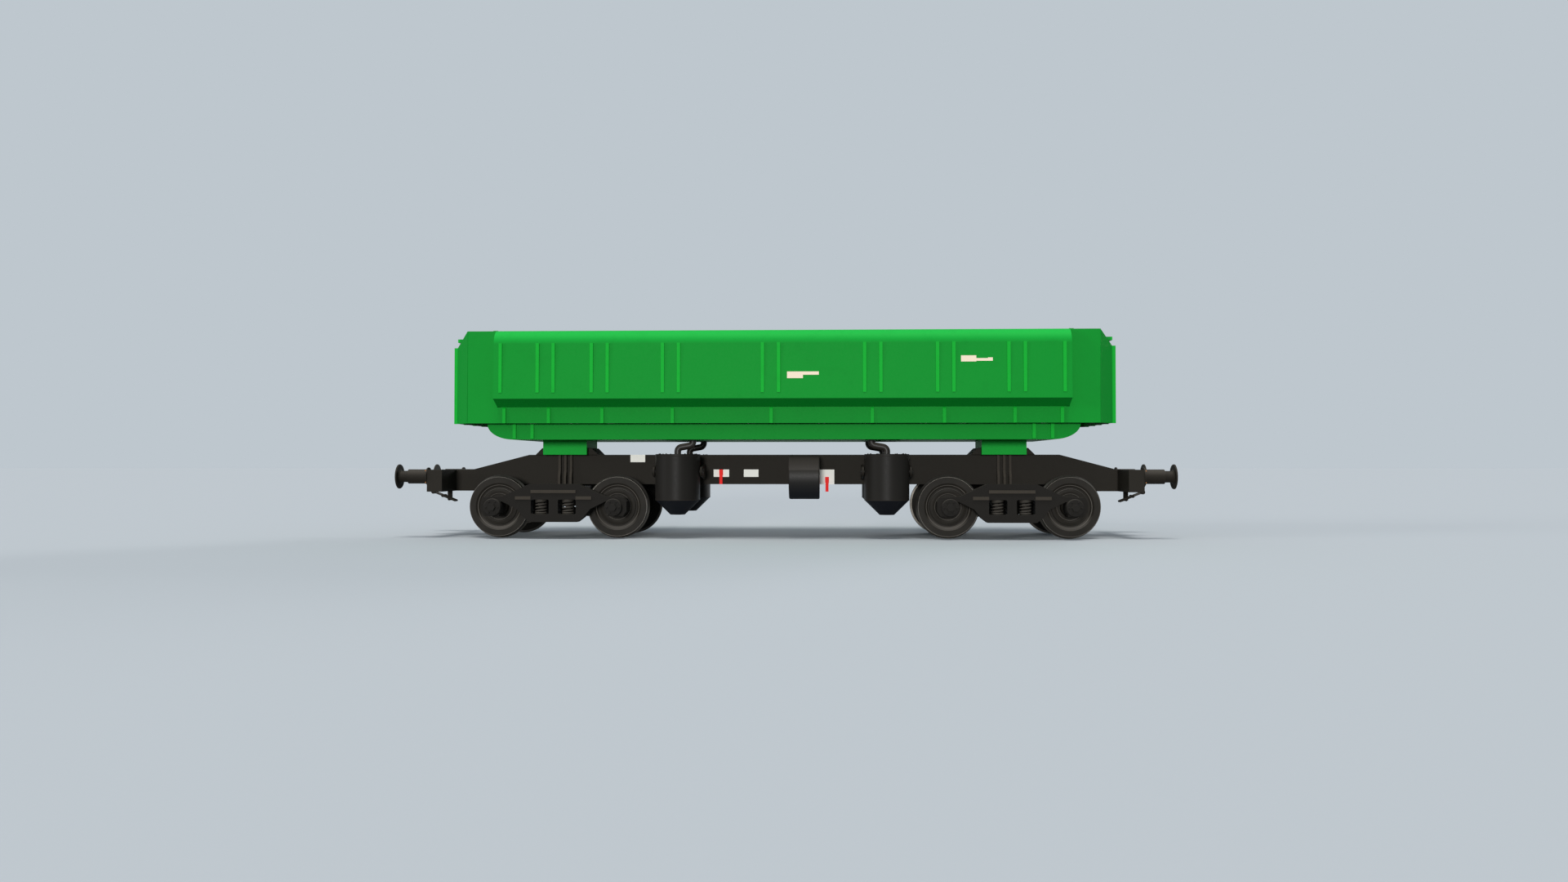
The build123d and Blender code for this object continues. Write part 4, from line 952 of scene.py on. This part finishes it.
def lay_rib_beads():
    (foot_y, foot_z), (head_y, head_z) = DOOR_WELD_FOOT, DOOR_WELD_HEAD
    for tag, side in SIDES:
        beads = [bead((x, side * foot_y, foot_z), (x, side * head_y, head_z))
                 for x in rib_edges("door_" + tag, DOOR_FOOT_Y + 0.0012)]
        complete("door_welds_" + tag, beads, "door_" + tag, "green_weld")
        beads = [upright(x, side * BOX_HALF, RIB_FOOT_Z, RIB_HEAD_Z)
                 for x in rib_edges("side_sill_" + tag, BOX_HALF + 0.02)]
        complete("lower_wall_welds_" + tag, beads, "box", "green_weld")
        beads = [upright(x, side * SUB_FACE_Y, SUB_BOTTOM + 0.02, BOX_FOOT - 0.009)
                 for x in rib_edges("subframe_side_" + tag, SUB_FACE_Y + 0.02)]
        complete("subframe_welds_" + tag, beads, "root", "green_weld")


def lay_box_beads():
    low, high, slope = BOX_FOOT + BEAD_SHORT, BOX_TOP - BEAD_SHORT, END_SLOPE_Z - BEAD_SHORT
    beads = []
    for (sx, sy), corner in quarters((BEVEL_X, BOX_HALF, BOX_FOOT)):
        beads.append(upright(corner.x, corner.y, low, high))
        beads.append(upright(sx * BOX_END_X, sy * BEVEL_Y, low, slope))
    for tag, end in ENDS:
        for y in rib_edges("end_wall_" + tag, BOX_END_X + 0.055, along=1, out=0):
            beads.append(upright(end * BOX_END_X, y, low, slope))
    complete("box_welds", beads, "box", "green_weld")


def lay_underframe_beads():
    beads = [run(corner, sx, *SADDLE_RUN)
             for (sx, sy), corner in quarters((BOGIE_X, SADDLE_HALF, SUB_BOTTOM))]
    complete("saddle_welds", beads, "root", "green_weld")

    beads = [run(corner, sx, *PEDESTAL_RUN)
             for (sx, sy), corner in quarters((BOGIE_X, PEDESTAL_HALF, SILL_TOP))]
    beads += [upright(corner.x, corner.y, *HEADSTOCK_WELD)
              for signs, corner in quarters((HEADSTOCK_BACK, SILL_WEB, 0))]
    middle = (TANK_LOW + TANK_HIGH) / 2
    beads += [seam((x, middle.y, middle.z), (1, 0, 0), (TANK_HIGH.z - TANK_LOW.z) / 2)
              for x in (TANK_LOW.x + TANK_SEAM, TANK_HIGH.x - TANK_SEAM)]
    complete("underframe_welds", beads, "root", "dark_weld")

    for signs, centre in quarters(CYLINDER):
        name = quarter_name(*signs)
        rings = [seam((centre.x, centre.y, z), (0, 0, 1), BARREL_R - SEAM_SUNK)
                 for z in (BARREL_CONE_Z, centre.z - LID_SEAM)]
        complete("barrel_welds_" + name, rings, "barrel_" + name,
                 "cylinder_weld")


# Seals of the doors

SEAL_THICK = 0.006
SEAL_Y = BOX_HALF - 0.015 - SEAL_THICK     # against the inner face of the lower wall
SEAL_EASE = 0.25                 # how far its edges are eased, as a share of its thickness
SEAL_HALF = 4.308                # half the length of the bar under a door
SEAL_SIDE = (4.263, 4.338)       # inner and outer edge of the bars beside it
SEAL_LOW = RAIL + 1.932
SEAL_SILL = RAIL + 2.012         # top of the bar under a door
SEAL_HIGH = RAIL + 2.97          # top of the bars beside it


def strip(low, high):
    """A flat bar with eased edges between two opposite corners."""
    bar = block(low, high)
    edit_all()
    bpy.ops.mesh.bevel(offset=min(Vector(high) - Vector(low)) * SEAL_EASE, segments=2)
    close_edit()
    return bar


def fit_seals():
    """Bars on the box that close the gaps round each door from inside."""
    bars = []
    for side in (-1, 1):
        y0, y1 = sorted((side * SEAL_Y, side * (SEAL_Y + SEAL_THICK)))
        bars.append(strip((-SEAL_HALF, y0, SEAL_LOW), (SEAL_HALF, y1, SEAL_SILL)))
        for end in (-1, 1):
            x0, x1 = sorted(end * edge for edge in SEAL_SIDE)
            bars.append(strip((x0, y0, SEAL_LOW), (x1, y1, SEAL_HIGH)))
    complete("door_seals", bars, "box", "green")


wind_springs()
cut_threads()
fit_bolts()
fix_plates()
lay_rib_beads()
lay_box_beads()
lay_underframe_beads()
fit_seals()


# Floor, light and camera

# The camera stands where the photograph was taken from
CAMERA_PLACE = (0.783, -19.07, 1.148)
CAMERA_YAW = 0.041
CAMERA_PITCH = 0.0192
CAMERA_LENS = 27.28
CAMERA_SENSOR = 36.0
FLOOR_SIZE = 600
VIEW_DEPTH = 800                 # how far the camera sees

FLOOR_SHADE = (1.056, 1.004, 0.943)     # of the floor to the backdrop, so that they meet unseen
FLOOR_LIGHT = (0.12, 0.13, 0.15, 1.0)   # the floor's colour to the light that it throws
WORLD_LIGHT = (0.30, 0.34, 0.40, 1.0)
# Name, direction that the light comes from, strength, apparent size in degrees
SUNS = (
    ("key", (-0.06, -0.99, 0.1), 1.85, 10),
    ("side", (-0.9, -0.35, 0.25), 0.7, 20),
    ("top", (0.0, -0.3, 0.95), 1.55, 24),
    ("back", (0.62, 0.74, 0.25), 1.0, 20),
)


def stage_colour(shader, dark, pale):
    """A colour that is pale to the camera, in gloss and in glass, but dark to the light."""
    rays = shader.outputs("ShaderNodeLightPath")
    seen = rays["Is Camera Ray"].most(rays["Is Glossy Ray"]).most(rays["Is Transmission Ray"])
    return shader.mix(seen, dark, pale)


def lay_floor():
    deselect()
    bpy.ops.mesh.primitive_plane_add(size=FLOOR_SIZE, location=(0, 0, 0))
    floor = bpy.context.object
    floor.name = "ground"
    finish = Finish("pale_floor")
    pale = (*(channel * share for channel, share in zip(linear(PALE), FLOOR_SHADE)), 1.0)
    colour = stage_colour(finish, FLOOR_LIGHT, pale)
    finish.set(Base_Color=colour, Roughness=1.0, Specular_IOR_Level=0.0)
    floor.data.materials.append(finish.material)


def light_studio():
    world = bpy.data.worlds.new("studio")
    bpy.context.scene.world = world
    shader = Shader(world)
    colour = stage_colour(shader, WORLD_LIGHT, linear(PALE))
    shader.put(shader.tree.nodes["Background"], "Color", colour)
    for name, toward, strength, size in SUNS:
        bpy.ops.object.light_add(type="SUN", location=(0, 0, 20))
        sun = bpy.context.object
        sun.name = name
        sun.data.energy = strength
        sun.data.angle = math.radians(size)
        sun.rotation_euler = Vector(toward).to_track_quat("Z", "Y").to_euler()


def set_camera():
    turn = (math.pi / 2 + CAMERA_PITCH, 0, CAMERA_YAW)
    bpy.ops.object.camera_add(location=CAMERA_PLACE, rotation=turn)
    camera = bpy.context.object
    camera.data.sensor_width = CAMERA_SENSOR
    camera.data.lens = CAMERA_LENS
    camera.data.clip_end = VIEW_DEPTH
    bpy.context.scene.camera = camera


lay_floor()
light_studio()
set_camera()
bpy.context.scene.view_settings.view_transform = "Standard"
